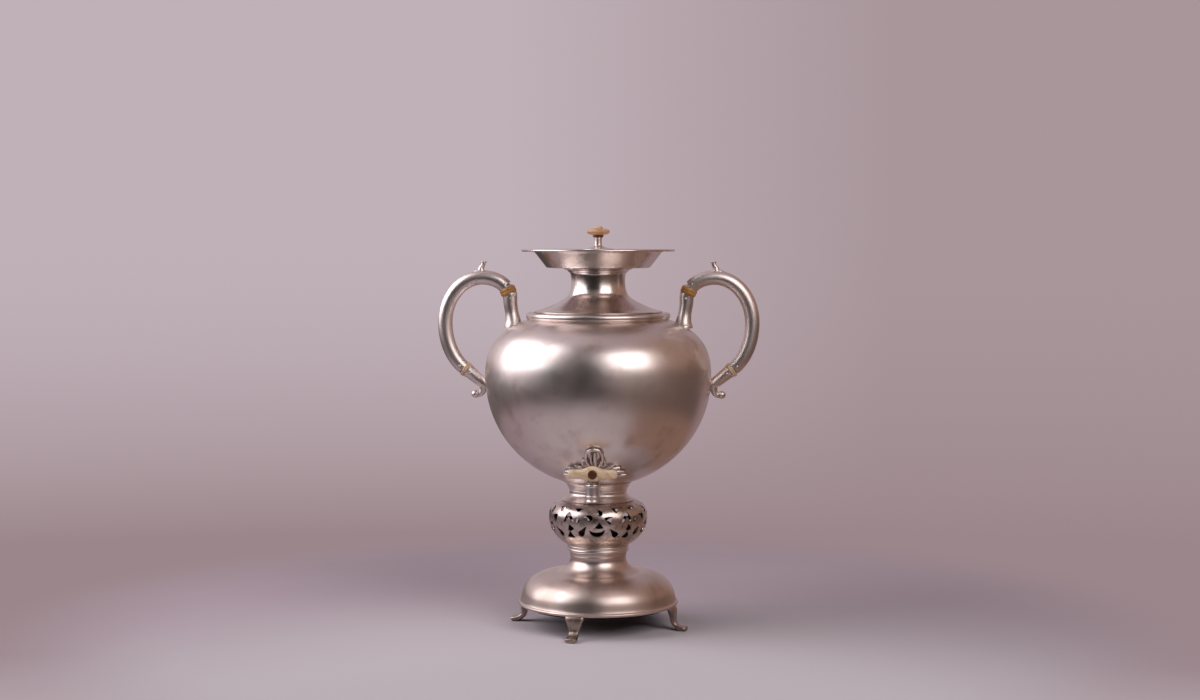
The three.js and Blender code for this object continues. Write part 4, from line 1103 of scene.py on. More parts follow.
@dataclass(frozen=True)
class Gallery:
    """The pierced bulb that shades the lamp, with its moulded foot."""

    foot: float = 87.0
    belly: float = 115.0
    top: float = 135.0
    radius: float = 51.5
    foot_radius: float = 32.5
    mouth_radius: float = 33.0
    mouth_hole: float = 25.5
    upper_power: float = 2.8
    wall: float = 1.2
    # Spans of the wall below and above the belly, and the cells that a repeat is cut into, across and up
    spans: int = 30
    cells_across: int = 44
    cell_height: float = 1.2
    repeats: int = 5
    first_turn: float = 3.2
    # The turn of the seam between two repeats, and the height up to which it keeps it
    seam: tuple[Point, ...] = ((28.0, 112.4), (23.5, 124.4), (30.6, 135.0))
    middle_holes: tuple[Hole, ...] = (
        Hole(Piercing.COMMA, 0.4, 126.8, 9.4, 9.6, 14),
        Hole(Piercing.TRIANGLE, 0.8, 113.2, 8.8, 6.6, 0),
        Hole(Piercing.CRESCENT, -1.6, 104.6, 16.2, 15.4, 2),
        Hole(Piercing.WEDGE, 12.4, 118.0, 8.6, 8.4, 6),
        Hole(Piercing.COMMA, -12.4, 121.2, 8.6, 9.8, 62),
        Hole(Piercing.DROP, 18.6, 104.8, 12.4, 14.0, 43),
        Hole(Piercing.DROP, -18.8, 106.6, 12.4, 14.6, -36),
        Hole(Piercing.WEDGE, 21.6, 128.0, 8.8, 7.2, -4),
        Hole(Piercing.WEDGE, -25.6, 128.6, 10.4, 5.6, 4),
        Hole(Piercing.TRIANGLE, -25.6, 118.6, 5.6, 5.4, 24),
    )
    edge_holes: tuple[Hole, ...] = (
        Hole(Piercing.CHEVRON, 35.2, 120.8, 12.8, 11.4, 0),
        Hole(Piercing.DROP, 37.6, 110.2, 13.0, 7.2, 16),
        Hole(Piercing.TRIANGLE, 35.8, 102.6, 9.6, 8.2, 0),
    )

    def reach(self, radius: float, rise: float, power: float) -> float:
        """Returns the half-axis of an oval that comes in to a radius over a rise."""
        return rise / (1 - (radius / self.radius) ** power) ** (1 / power)

    def profile(self) -> list[Point]:
        """Returns the bulb's outer wall from foot to mouth.

        Returns:
            The points from the foot up.
        """
        lower = self.reach(self.foot_radius, self.belly - self.foot, 2)
        upper = self.reach(self.mouth_radius, self.top - self.belly, self.upper_power)
        low_turn = math.degrees(math.acos(self.foot_radius / self.radius))
        high_turn = math.degrees(math.acos((self.mouth_radius / self.radius) ** (self.upper_power / 2)))
        centre, spans = (0.0, self.belly), self.spans
        first_turn = high_turn / spans
        upper_wall = oval(centre, (self.radius, upper), self.upper_power, first_turn, high_turn, spans - 1)
        return [
            *oval(centre, (self.radius, -lower), 2, low_turn, 0, spans),
            *upper_wall,
        ]

    def pierced_sheet(self, wall: UnrolledWall, width: float) -> Mesh:
        """Returns one repeat as a flat sheet with its holes.

        Args:
            wall: The bulb's wall.
            width: The repeat's width at the belly.

        Returns:
            The open mesh.
        """
        holes: list[list[Point]] = []
        for shift, group in ((width, self.middle_holes), (0.0, self.edge_holes)):
            for hole in group:
                points = hole.outline(self.radius, wall.along(hole.height))
                holes.append([(x + shift, z) for x, z in points])
        # The seam steps aside twice, so that it cuts no hole
        seam: list[Point] = []
        foot = 0.0
        for turn, height in self.seam:
            across = math.radians(turn) * self.radius
            top = min(wall.along(height), wall.lengths[-1])
            seam += [(across, foot), (across, top)]
            foot = top
        outline = [*seam, *((x + width, z) for x, z in reversed(seam))]
        return flat_sheet(outline, holes, (width / self.cells_across, self.cell_height))

    def bulb(self) -> Mesh:
        """Rolls the flat repeat to the wall, turns it round the axis and gives it its thickness.

        Returns:
            The closed mesh.
        """
        wall = UnrolledWall(self.profile())

        def drawn_in(place: Vector) -> Vector:
            """Returns the place behind one on the wall, on its inner skin."""
            spot = wall.spot(wall.along(place.z), self.wall)
            return Vector((place.x, place.y, 0)).normalized() * spot.x + Vector((0, 0, spot.y))

        span = math.tau / self.repeats
        sheet = self.pierced_sheet(wall, span * self.radius)
        first = math.radians(self.first_turn - 90)
        for vert in sheet.verts:
            spot = wall.spot(vert.co.z)
            turn = vert.co.x / self.radius + first
            vert.co = Vector((math.cos(turn) * spot.x, math.sin(turn) * spot.x, spot.y))
        geom = [*sheet.verts, *sheet.edges, *sheet.faces]
        for repeat in range(1, self.repeats):
            copy = bmesh.ops.duplicate(sheet, geom=geom)["geom"]
            verts = [g for g in copy if isinstance(g, bmesh.types.BMVert)]
            bmesh.ops.rotate(sheet, verts=verts, matrix=Matrix.Rotation(span * repeat, 3, "Z"))
        bmesh.ops.remove_doubles(sheet, verts=sheet.verts, dist=0.01)
        return walled(sheet, Vector.copy, drawn_in)

    def build(self, shop: Workshop) -> None:
        """Joins the pierced bulb, its moulded floor and its lip.

        Args:
            shop: The workshop that finishes the pieces.
        """
        floor = [
            (BOLT_HOLE, self.foot), (self.foot_radius - 0.4, self.foot),
            (self.foot_radius + 0.9, self.foot + 0.9), (self.foot_radius + 0.9, self.foot + 2.4),
            (self.foot_radius + 2.4, self.foot + 3.4), (self.foot_radius + 1.0, self.foot + 3.8),
            (self.foot_radius - self.wall, self.foot + self.wall), (BOLT_HOLE, self.foot + self.wall),
        ]
        lip = [
            (self.mouth_hole, self.top - self.wall), (self.mouth_radius + 1.2, self.top - self.wall),
            (self.mouth_radius + 1.4, self.top - 0.3), (self.mouth_hole, self.top),
        ]
        whole = merged(self.bulb(), spun(softened(floor, 0.5)), spun(softened(lip, 0.3)))
        bmesh.ops.recalc_face_normals(whole, faces=whole.faces)
        # Painted shade: the bulb's inner faces are near-black silver for the shade inside the gallery
        shop.piece(
            "pierced_gallery_bulb", whole, PIERCED_SILVER, Body.STAND, ["pierced_gallery"], crease=42,
            inside=SHADE_DARK_SILVER,
        )


@dataclass(frozen=True)
class Stem:
    """The beaded ring under the gallery and the hollowed seat over it."""

    ring_foot: float = 80.0
    ring_top: float = 87.0
    ring_radius: float = 32.0
    ring_bead: float = 0.9
    seat_foot: float = 135.0
    seat_top: float = 146.5
    seat_radius: float = 30.0
    seat_ledge: float = 4.5
    # Radius and height above the gallery, hollowed like one cove with the collar above it
    seat_cove: tuple[Point, ...] = (
        (38.4, -1.1), (35.2, 0.5), (32.6, 2.4), (30.7, 4.5), (29.9, 6.4), (30.0, 8.2), (30.5, 10.2),
        (31.2, 11.5),
    )
    # The point of the rounded cove that carries a small bead
    bead_at: int = 27

    def build(self, shop: Workshop) -> None:
        """Spins the ring and the seat.

        Args:
            shop: The workshop that finishes the pieces.
        """
        waist = self.ring_radius - self.ring_bead
        bead = (self.ring_top - self.ring_foot) / 2
        ring: list[Point] = [(BOLT_HOLE, self.ring_foot), (waist, self.ring_foot)]
        for i in range(2):
            middle = self.ring_foot + bead * (i + 0.5)
            ring += oval((waist, middle), (self.ring_bead, -bead * 0.5), 2, 90, 0, 7)[:-1]
            ring += oval((waist, middle), (self.ring_bead, bead * 0.5), 2, 0, 90, 7)
        ring += [(waist, self.ring_top), (BOLT_HOLE, self.ring_top)]
        shop.piece("stem_beads", spun(ring), SPUN_SILVER, Body.STAND, ["stem_ring"])
        inner = self.seat_radius - SHEET
        cove = [(radius, self.seat_foot + rise) for radius, rise in rounded(self.seat_cove, 5, ring=False)]
        bead = (cove[self.bead_at][0] - 0.3, cove[self.bead_at][1])
        seat = [
            (self.seat_radius - self.seat_ledge, self.seat_foot),
            (self.seat_radius + 4.0, self.seat_foot - 1.4),
            *cove[: self.bead_at - 1],
            *oval(bead, (0.9, -0.7), 2, 60, 0, 5),
            *oval(bead, (0.9, 0.7), 2, 10, 60, 5),
            *cove[self.bead_at + 2 :],
            (inner, self.seat_top), (inner, self.seat_foot + SHEET),
            (self.seat_radius - self.seat_ledge, self.seat_foot + SHEET),
        ]
        shop.piece("hollowed_seat", spun(softened(seat, 0.3)), SPUN_SILVER, Body.STAND, ["urn_seat"])


@dataclass(frozen=True)
class SpiritLamp:
    """The squat lamp on the gallery's floor."""

    floor: float = 88.6
    radius: float = 26.0
    foot: float = 20.0
    height: float = 20.0
    font_wall: float = 1.4
    wick: float = 4.4
    # The wick's plait: strands round it, turns in radians for each millimetre up, and their depth
    strands: int = 10
    twist: float = 1.4
    strand_depth: float = 0.035

    def build(self, shop: Workshop) -> None:
        """Spins the font, the burner and the wick.

        Args:
            shop: The workshop that finishes the pieces.
        """
        top = self.floor + self.height
        shoulder = self.radius - self.foot + 4
        font = [
            (self.foot - 1.2, self.floor), (self.foot, self.floor), (self.foot - 0.5, self.floor + 3.0),
            *oval((self.foot - 4, self.floor + 9.9), (shoulder, -6.4), 2.4, 70, 0, 12),
            *oval((self.foot - 4, self.floor + 13.0), (shoulder, 5.6), 2.2, 2, 66, 12),
            (12.0, top), (8.4, top), (8.4, top - 1.2), (16.0, top - 2.6),
            (self.radius - self.font_wall, self.floor + 12.6),
            (self.radius - self.font_wall, self.floor + 10.2),
            (self.foot - self.font_wall, self.floor + 5.0), (0.0, self.floor + 5.0),
            (0.0, self.floor + 3.8), (self.foot - 1.6, self.floor + 3.8),
        ]
        shell = spun(softened(font, 0.5), segments=96)
        # Painted shade: the font is near-black silver for the shade inside the gallery
        shop.piece("lamp_font_shell", shell, SHADE_DARK_SILVER, Body.STAND, ["lamp_font"])
        burner = [
            (4.8, top - 9.0), (6.0, top - 9.0), (6.0, top), (12.0, top + 0.05), (12.4, top + 0.6),
            (12.0, top + 1.2), (7.0, top + 1.4), (6.0, top + 2.2), (6.0, top + 5.0), (4.8, top + 5.0),
        ]
        tube = spun(softened(burner, 0.4), segments=64)
        shop.piece("lamp_burner_tube", tube, INNER_SILVER, Body.STAND, ["lamp_burner"])
        crown = top + 5.6
        wick = [
            (0, self.floor + 5.3), (self.wick, self.floor + 5.3),
            *oval((0, crown), (self.wick, 2.4), 2, 0, 90, 8),
        ]
        plait = spun(wick, segments=64)
        for vert in plait.verts:
            turn = math.atan2(vert.co.y, vert.co.x) * self.strands + vert.co.z * self.twist
            swell = 1 + self.strand_depth * math.sin(turn)
            vert.co.x *= swell
            vert.co.y *= swell
        shop.piece("lamp_wick_plait", plait, LAMP_COTTON, Body.STAND, ["lamp_wick"])


# The urn


@dataclass(frozen=True)
class Bowl:
    """The great spun bowl, its collar below and the moulded band at its mouth."""

    radius: float = 117.8
    widest: float = 263.06
    lower_rise: float = 115.0
    upper_rise: float = 67.9
    upper_power: float = 2.6
    mouth: float = 61.02
    band: float = 75.2
    band_top: float = 329.3
    collar: float = 35.8
    collar_foot: float = 146.5
    spigot: float = 28.2
    spigot_wall: float = 1.6
    spigot_drop: float = 6.0
    # How far inside the collar's edge and how high above its foot
    cove: tuple[Point, ...] = ((4.6, 0.2), (3.3, 2.4), (1.9, 4.6), (0.0, 6.1))

    def shoulder(self, radius: float) -> float:
        """Returns the height of the bowl's outside above its widest place at a radius."""
        power = self.upper_power
        return self.widest + self.upper_rise * (1 - (radius / self.radius) ** power) ** (1 / power)

    def underside(self, radius: float) -> float:
        """Returns the height of the bowl's outside below its widest place at a radius."""
        return self.widest - self.lower_rise * math.sqrt(1 - (radius / self.radius) ** 2)

    def front(self, x: float, z: float) -> tuple[Vector, Vector]:
        """Finds the bowl's surface in front of a place.

        Args:
            x: Place across.
            z: Height, below the widest place.

        Returns:
            The point and the outward direction there.
        """
        rise = (self.widest - z) / self.lower_rise
        radius = self.radius * math.sqrt(max(1 - rise * rise, 0.0))
        place = Vector((x, -math.sqrt(max(radius * radius - x * x, 0.0)), z))
        out = Vector((place.x, place.y, 0)) / self.radius**2
        out.z = -(self.widest - z) / self.lower_rise**2
        return place, out.normalized()

    def wall(self, inset: float) -> list[Point]:
        """Returns the wall from the bottom of the axis to the mouth.

        Args:
            inset: How far inside the outer skin.

        Returns:
            The points from the bottom up.
        """
        radius = self.radius - inset
        turn = math.degrees(math.acos(((self.mouth - inset) / radius) ** (self.upper_power / 2)))
        centre = (0.0, self.widest)
        lower = oval(centre, (radius, inset - self.lower_rise), 2, 90, 0, 44)
        upper = oval(centre, (radius, self.upper_rise - inset), self.upper_power, turn / 34, turn, 33)
        return [(0.0, lower[0][1]), *lower[1:], *upper]

    def build(self, shop: Workshop) -> None:
        """Spins the bowl, its collar and its band.

        Args:
            shop: The workshop that finishes the pieces.
        """
        shell = spun([*self.wall(0), *reversed(self.wall(SHEET))], segments=224)
        waved(shell, amplitude=0.22, scale=0.016)
        shop.piece("bowl_shell", shell, SPUN_SILVER, Body.URN, ["urn_bowl"])
        bore = self.spigot - self.spigot_wall
        collar = [
            (bore, self.collar_foot - self.spigot_drop),
            (self.spigot, self.collar_foot - self.spigot_drop), (self.spigot, self.collar_foot),
            (self.collar - 4.5, self.collar_foot),
            *rounded([(self.collar - x, self.collar_foot + z) for x, z in self.cove], 7, ring=False),
            *oval((self.collar - 0.7, self.collar_foot + 6.2), (0.7, 0.7), 2, 0, 80, 4),
            (self.collar - 1.4, self.underside(self.collar - 1.4) + 0.6),
            (bore, self.underside(bore) + 0.4),
        ]
        moulding = spun(softened(collar, 0.3))
        shop.piece("bowl_collar_moulding", moulding, SPUN_SILVER, Body.URN, ["bowl_collar"])
        foot = self.band - 2.0
        middle = (foot - 0.6, mix(self.shoulder(foot), self.band_top, 0.52))
        half = (self.band_top - self.shoulder(foot)) * 0.48
        seats = (self.mouth, mix(self.mouth, foot, 0.5), foot)
        band = [
            *((radius, self.shoulder(radius) - 0.3) for radius in seats),
            *oval(middle, (self.band - foot + 0.6, -half), 2, 80, 0, 9),
            *oval(middle, (self.band - foot + 0.6, half), 2, 4, 88, 9),
            (foot - 3.5, self.band_top), (self.mouth, self.band_top),
        ]
        moulding = spun(softened(band, 0.3))
        shop.piece("shoulder_moulding", moulding, SPUN_SILVER, Body.URN, ["shoulder_band"])


@dataclass(frozen=True)
class Mouth:
    """The neck with its trumpet foot, the collar over it and the broad dish."""

    foot: float = 329.3
    skirt: float = 66.02
    skirt_edge: float = 2.2
    skirt_hole: float = 61.0
    radius: float = 28.4
    # Radius and height above the foot, from the collar down the hollowed neck to the skirt's edge
    hollow: tuple[Point, ...] = (
        (30.4, 42.5), (29.1, 40.9), (28.4, 38.2), (28.1, 34.2), (28.3, 29.2), (29.0, 24.4), (30.3, 20.4),
        (32.5, 17.2), (35.6, 14.6), (40.0, 12.0), (46.0, 9.0), (53.0, 5.9), (60.0, 3.4), (65.2, 2.2),
    )
    top: float = 376.0
    collar: float = 35.7
    collar_height: float = 4.4
    dish_floor: float = 54.6
    dish_top: float = 66.7
    dish_height: float = 17.0
    brim: float = 80.0
    brim_thick: float = 2.4

    def build(self, shop: Workshop) -> None:
        """Spins the neck, its collar and the dish.

        Args:
            shop: The workshop that finishes the pieces.
        """
        outer = [(radius, self.foot + rise) for radius, rise in rounded(self.hollow, 4, ring=False)]
        low = self.top - self.collar_height
        inner = [(radius - SHEET, height) for radius, height in outer if height < low]
        inner = [(radius, height) for radius, height in inner if radius < self.skirt_hole - 1.0]
        neck = [
            (self.radius - SHEET, self.top), (self.radius, self.top),
            *outer,
            (self.skirt + 0.6, self.foot + self.skirt_edge - 0.5), (self.skirt + 0.9, self.foot + 1.5),
            (self.skirt + 0.9, self.foot + 0.7), (self.skirt, self.foot), (self.skirt_hole, self.foot),
            *((radius, max(height - SHEET * 0.6, self.foot + 0.5)) for radius, height in reversed(inner)),
        ]
        trumpet = waved(spun(softened(neck, 0.35)), amplitude=0.08, scale=0.04)
        shop.piece("trumpet_neck", trumpet, NECK_SILVER, Body.URN, ["neck"])
        collar = [
            (self.radius, low - 0.3), (self.radius + 2.6, low - 0.2),
            *oval((self.collar - 0.4, low), (-4.4, 2.9), 1.6, 4, 84, 8),
            (self.collar, low + 3.2), (self.collar, self.top), (self.radius, self.top),
        ]
        flared = spun(softened(collar, 0.25))
        shop.piece("flared_neck_collar", flared, NECK_SILVER, Body.URN, ["neck_collar"])
        mouth = self.radius - SHEET
        brim_foot = self.top + self.dish_height
        brim_top = brim_foot + self.brim_thick
        brim_mid = mix(brim_foot, brim_top, 0.5)
        wire = self.brim_thick / 2
        wall_foot = Vector((self.dish_floor + 0.6, self.top + 2))
        wall_top = Vector((self.dish_top - 0.8, brim_foot - 1.2))
        dish = [
            (mouth, self.top), (self.dish_floor - 2.6, self.top), (self.dish_floor - 0.6, self.top + 0.5),
            *(tuple(wall_foot.lerp(wall_top, step / 5)) for step in range(6)),
            *oval((self.dish_top + 1.8, brim_foot - 1.3), (-2.2, 1.7), 2, 12, 84, 6),
            (mix(self.dish_top, self.brim, 0.5), brim_foot + 0.7), (self.brim - 2.4, brim_foot + 0.9),
            *oval((self.brim - wire, brim_mid), (wire, -wire), 2, 84, 0, 7),
            *oval((self.brim - wire, brim_mid), (wire, wire), 2, 12, 84, 7),
            (self.brim - 2.6, brim_top - 0.4), (mix(self.dish_top, self.brim, 0.5), brim_top - 0.4),
            *oval((self.dish_top + 1.6, brim_top - 2.2), (-2.4, 1.8), 2, 84, 10, 6),
            (self.dish_floor - SHEET * 0.6, self.top + 3.4),
            (self.dish_floor - 2.6, self.top + SHEET + 0.2), (self.dish_floor - 4.2, self.top + SHEET),
            (mouth, self.top + SHEET),
        ]
        broad = waved(spun(softened(dish, 0.4)), amplitude=0.1, scale=0.03)
        shop.piece("broad_mouth_dish", broad, NECK_SILVER, Body.URN, ["mouth_dish"])


@dataclass(frozen=True)
class Lid:
    """The lid in the dish, with its stem and ivory button."""

    seat: float = 377.5
    radius: float = 47.0
    rise: float = 17.0
    power: float = 1.6
    sleeve: float = 26.3
    sleeve_drop: float = 6.0
    flange: float = 43.4
    boss: float = 16.5
    boss_rise: float = 5.0
    stem: float = 4.0
    stem_height: float = 8.0
    collar: float = 5.6
    collar_height: float = 2.6
    button: float = 12.0
    button_height: float = 7.0
    button_power: float = 2.4
    cap: float = 4.8
    cap_height: float = 2.2

    def build(self, shop: Workshop) -> None:
        """Spins the lid and the sleeve that keeps it in place, and builds the knob on top.

        Args:
            shop: The workshop that finishes the pieces.
        """
        top = self.seat + self.rise
        edge = self.radius - self.boss
        dome = [
            (self.radius - 0.4, self.seat), (self.radius + 0.2, self.seat + 0.6),
            (self.radius, self.seat + 1.5),
            *oval((self.boss, self.seat + SHEET), (edge - 1.0, self.rise - SHEET), self.power, 3, 90, 26),
            (STUD_HOLE, top), (STUD_HOLE, top - SHEET),
            *oval((self.boss, self.seat), (edge - 3, self.rise - SHEET), self.power, 90, 4, 22),
        ]
        shell = waved(spun(softened(dome, 0.3)), amplitude=0.06, scale=0.05)
        shop.piece("lid_shell", shell, SPUN_SILVER, Body.LID, ["lid_dome"])
        foot, bore = self.seat - self.sleeve_drop, self.sleeve - 1.2
        sleeve = [
            (bore, foot), (self.sleeve, foot), (self.sleeve + 0.3, self.seat), (self.flange, self.seat),
            (self.flange - 0.7, self.seat + 0.8), (bore, self.seat + 0.8),
        ]
        tube = spun(softened(sleeve, 0.3), segments=128)
        shop.piece("lid_sleeve", tube, INNER_SILVER, Body.LID, ["lid_skirt"])
        self.knob(shop, top)

    def knob(self, shop: Workshop, top: float) -> None:
        """Spins the stem, the neck ring, the ivory button and its stud.

        Args:
            shop: The workshop that finishes the pieces.
            top: Height of the lid's flat middle.
        """
        stem_foot, stem_top = top + self.boss_rise, top + self.boss_rise + self.stem_height
        stem = [
            (STUD_HOLE, top), (self.boss, top), (self.boss + 0.3, top + 0.6),
            (self.boss - 0.3, top + 1.1),
            *oval((self.boss, stem_foot), (self.stem - self.boss, 1.2 - self.boss_rise), 1.5, 86, 0, 16),
            (self.stem - 0.3, mix(stem_foot, stem_top, 0.5)), (self.stem - 0.2, stem_top - 1.4),
            (self.stem + 0.3, stem_top - 1.0), (self.stem + 0.3, stem_top - 0.3), (self.stem, stem_top),
            (STUD_HOLE, stem_top),
        ]
        flared = spun(softened(stem, 0.3), segments=96)
        shop.piece("flared_knob_stem", flared, SPUN_SILVER, Body.LID, ["knob_stem"])
        collar_top = stem_top + self.collar_height
        collar_reach = (self.collar - self.stem + 0.6, 0.9 - self.collar_height)
        collar = [
            (STUD_HOLE, stem_top), (self.stem, stem_top),
            *oval((self.stem - 0.6, collar_top - 1.0), collar_reach, 2, 84, 0, 8),
            (self.collar, collar_top), (STUD_HOLE, collar_top),
        ]
        dark = spun(softened(collar, 0.25), segments=72)
        shop.piece("knob_neck_ring", dark, DARK_HORN, Body.LID, ["knob_collar"])
        half, power = self.button_height / 2, self.button_power
        middle = (0, collar_top + half)
        shares = (self.collar / self.button, self.cap / self.button)
        low, high = (math.degrees(math.acos(share ** (power / 2))) for share in shares)
        cap_foot = collar_top + self.button_height - 0.1
        button = [
            (STUD_HOLE, collar_top),
            *oval(middle, (self.button, -half), power, low, 0, 16),
            *oval(middle, (self.button, half), power, 3, high, 16),
            (STUD_HOLE, cap_foot),
        ]
        shop.piece("ivory_knob_button", spun(button, segments=96), KNOB_IVORY, Body.LID, ["ivory_button"])
        cap = [
            (0.0, top - 6.0), (1.8, top - 6.0), (1.8, cap_foot - 0.3), (self.cap, cap_foot),
            *oval((0, cap_foot + 0.6), (self.cap, self.cap_height - 0.5), 2.2, 4, 90, 12),
        ]
        stud = spun(softened(cap, 0.2, ring=False), segments=72)
        shop.piece("knob_stud_cap", stud, PALE_IVORY, Body.LID, ["button_cap"])


# Handles


@dataclass(frozen=True)
class Handle:
    """A silver handle carried between two ivory rings, which keep the heat from the hand.

    Its line is an oval: an arc inside the crown down to the shoulder, and one outside it down to the bowl.
    """

    bowl: Bowl
    side: Side
    crown_x: float = 121.0
    crown_z: float = 366.0
    inner_reach: float = 27.98
    inner_drop: float = 20.0
    outer_reach: float = 39.3
    upper_drop: float = 47.0
    lower_drop: float = 55.0
    tube: float = 7.6
    # Where the rings sit on the arcs, in degrees, with their radius and thickness
    upper_turn: float = 17.0
    upper_ring: Point = (8.6, 7.4)
    lower_turn: float = 63.0
    lower_ring: Point = (8.0, 4.6)
    ring_gap: float = 0.2
    spigot: float = 4.0
    socket: float = 7.5
    socket_foot: float = 11.0
    lower_socket: float = 6.2
    tail: float = 3.4
    ball: float = 4.4

    def inner(self, turn: float) -> tuple[Vector, Vector]:
        """Returns the place and heading on the arc inside the crown, by turn from its foot.

        Args:
            turn: Degrees from the arc's foot.

        Returns:
            The place and the unit heading.
        """
        across, up = math.cos(math.radians(turn)), math.sin(math.radians(turn))
        at = Vector((self.crown_x - self.inner_reach * across, 0, self.crown_z - self.inner_drop * (1 - up)))
        return at, Vector((self.inner_reach * up, 0, self.inner_drop * across)).normalized()

    def outer(self, turn: float) -> tuple[Vector, Vector]:
        """Returns the place and heading on the arc outside the crown, by turn from the crown.

        Args:
            turn: Degrees from the crown.

        Returns:
            The place and the unit heading.
        """
        across, up = math.sin(math.radians(turn)), math.cos(math.radians(turn))
        drop = self.upper_drop if up > 0 else self.lower_drop
        at = Vector((self.crown_x + self.outer_reach * across, 0, self.crown_z - self.upper_drop + drop * up))
        return at, Vector((self.outer_reach * up, 0, -drop * across)).normalized()

    def name(self, part: str) -> str:
        """Returns the name of a part on this side."""
        return f"{self.side.name.lower()}_{part}"

    def add(self, shop: Workshop, part: str, mesh: Mesh, finish: Finish, node: str) -> None:
        """Turns a part to its side and finishes it."""
        turned_to(mesh, Matrix.Rotation(self.side.value, 4, "Z"))
        shop.piece(self.name(part), mesh, finish, Body.URN, [self.name(node)])

    def ring_shape(self, size: Point, at: Vector, along: Vector) -> Mesh:
        """Returns a turned ring with a groove and a spigot at each face.

        Args:
            size: Its radius and thickness.
            at: Its middle.
            along: The direction of its axis.

        Returns:
            The closed mesh.
        """
        radius, thick = size
        half = thick / 2
        end = half + self.spigot
        outline = [
            (0.0, -end), (self.spigot, -end), (self.spigot, -half), (radius * 0.9, -half),
            (radius, -half * 0.55), (radius, -half * 0.25), (radius * 0.955, 0.0), (radius, half * 0.25),
            (radius, half * 0.55), (radius * 0.9, half), (self.spigot, half), (self.spigot, end),
            (0.0, end),
        ]
        return turned_to(spun(softened(outline, 0.7, ring=False), segments=80), standing(at, along))

    def pin_heads(self, at: Vector, radius: float) -> Mesh:
        """Returns the two heads of a cross pin through a tube.

        Args:
            at: The pin's middle.
            radius: The tube's radius there.

        Returns:
            Both heads.
        """
        head = [(0.0, -0.5), (1.25, -0.5), *oval((0, 0.1), (1.25, 0.65), 2, 0, 90, 6)]
        heads = []
        for way in (1, -1):
            place = at + Vector((0, way * radius, 0))
            heads.append(turned_to(spun(head, segments=24), standing(place, Vector((0, way, 0)))))
        return merged(*heads)

    def grip_shape(self) -> Mesh:
        """Returns the hollow silver grip, swelled a little where the hand closes.

        Returns:
            The grip with its pins.
        """
        upper, lower = self.inner(self.upper_turn), self.outer(90 + self.lower_turn)
        start = upper[0] + upper[1] * (self.upper_ring[1] / 2 + self.ring_gap)
        end = lower[0] - lower[1] * (self.lower_ring[1] / 2 + self.ring_gap)
        places = [start, start + upper[1] * 1.2]
        places += [self.inner(mix(self.upper_turn + 10, 86, s / 11))[0] for s in range(12)]
        places += [self.outer(mix(2, 88 + self.lower_turn, s / 40))[0] for s in range(41)]
        places += [end - lower[1] * 1.2, end]
        lines = headings(places)
        lines[0], lines[-1] = upper[1], lower[1]
        last = len(places) - 1
        sections = []
        for i, (at, along) in enumerate(zip(places, lines)):
            lip = 0.25 if i in (0, 1, last - 1, last) else 0.0
            size = self.tube - 0.45 * smooth(i / last, 0.8, 1.0) + lip
            sections.append(Section(at, along, size, size))
        return merged(
            swept(sections, sides=48), self.pin_heads(start + upper[1] * 4.2, self.tube),
            self.pin_heads(end - lower[1] * 4.2, self.tube - 0.4),
        )

    def upper_socket_shape(self) -> Mesh:
        """Returns the socket that rises from a spread foot on the shoulder.

        Returns:
            The socket with its pin.
        """
        at, along = self.inner(self.upper_turn)
        head = at - along * (self.upper_ring[1] / 2 + self.ring_gap)
        foot = Vector((head.x - self.socket / 2, 0, self.bowl.shoulder(head.x - self.socket / 2)))
        lean, rise = head.x - foot.x, head.z - foot.z
        steps = [(0.4, -3.0), (0.2, -0.6), (0.0, 1.6), (0.2, rise * 0.18), (lean * 0.36, rise * 0.42)]
        steps.append((lean * 0.74, rise * 0.7))
        places = [*(foot + Vector((across, 0, up)) for across, up in steps), head - along * 1.4, head]
        spread, tube = self.socket_foot, self.socket
        sizes = [
            (spread + 0.6, spread - 1.6), (spread + 0.5, spread - 1.8),
            (spread - 0.8, mix(spread, tube, 0.55)), (mix(spread, tube, 0.72), mix(spread, tube, 0.86)),
            (tube * 0.93, tube * 0.93), (tube * 0.96, tube * 0.96), (tube + 0.1, tube + 0.1),
            (tube + 0.5, tube + 0.5),
        ]
        pins = self.pin_heads(head - along * 4.4, tube - 0.1)
        return merged(swept(path_sections(places, sizes, 5), sides=56), pins)

    def lower_socket_shape(self) -> Mesh:
        """Returns the socket that comes in to the bowl and curls away in a tail with a ball.

        Returns:
            The socket with its tail, ball and pin.
        """
        at, along = self.outer(90 + self.lower_turn)
        head = at + along * (self.lower_ring[1] / 2 + self.ring_gap)
        wide, tail = self.lower_socket, self.tail
        touch = Vector((self.bowl.radius, 0, head.z - (wide + tail * 2)))
        # How far off the bowl, in the socket's widths, and how far down, in the tail's
        steps = ((0.55, 0.0), (0.42, 1.6), (0.75, 3.1), (1.3, 3.7), (1.75, 3.4))
        curve = [touch + Vector((wide * off, 0, -tail * down)) for off, down in steps]
        places = [head, head + along * 2.2, head.lerp(curve[0], 0.45) + along * 1.4, *curve]
        sizes = [
            (7.5, 7.5), (6.9, 6.9), (wide, wide), (wide * 0.98, wide * 0.9), (wide * 0.8, wide * 0.66),
            (tail * 1.05, tail * 0.95), (tail * 0.8, tail * 0.75), (tail * 0.75, tail * 0.7),
        ]
        curl = bmesh.new()
        bmesh.ops.create_uvsphere(curl, u_segments=36, v_segments=20, radius=self.ball)
        bmesh.ops.scale(curl, vec=(1.0, 1.12, 0.95), verts=curl.verts)
        bmesh.ops.translate(curl, vec=places[-1], verts=curl.verts)
        pins = self.pin_heads(head + along * 3.6, 6.5)
        return merged(swept(path_sections(places, sizes, 6)), curl, pins)

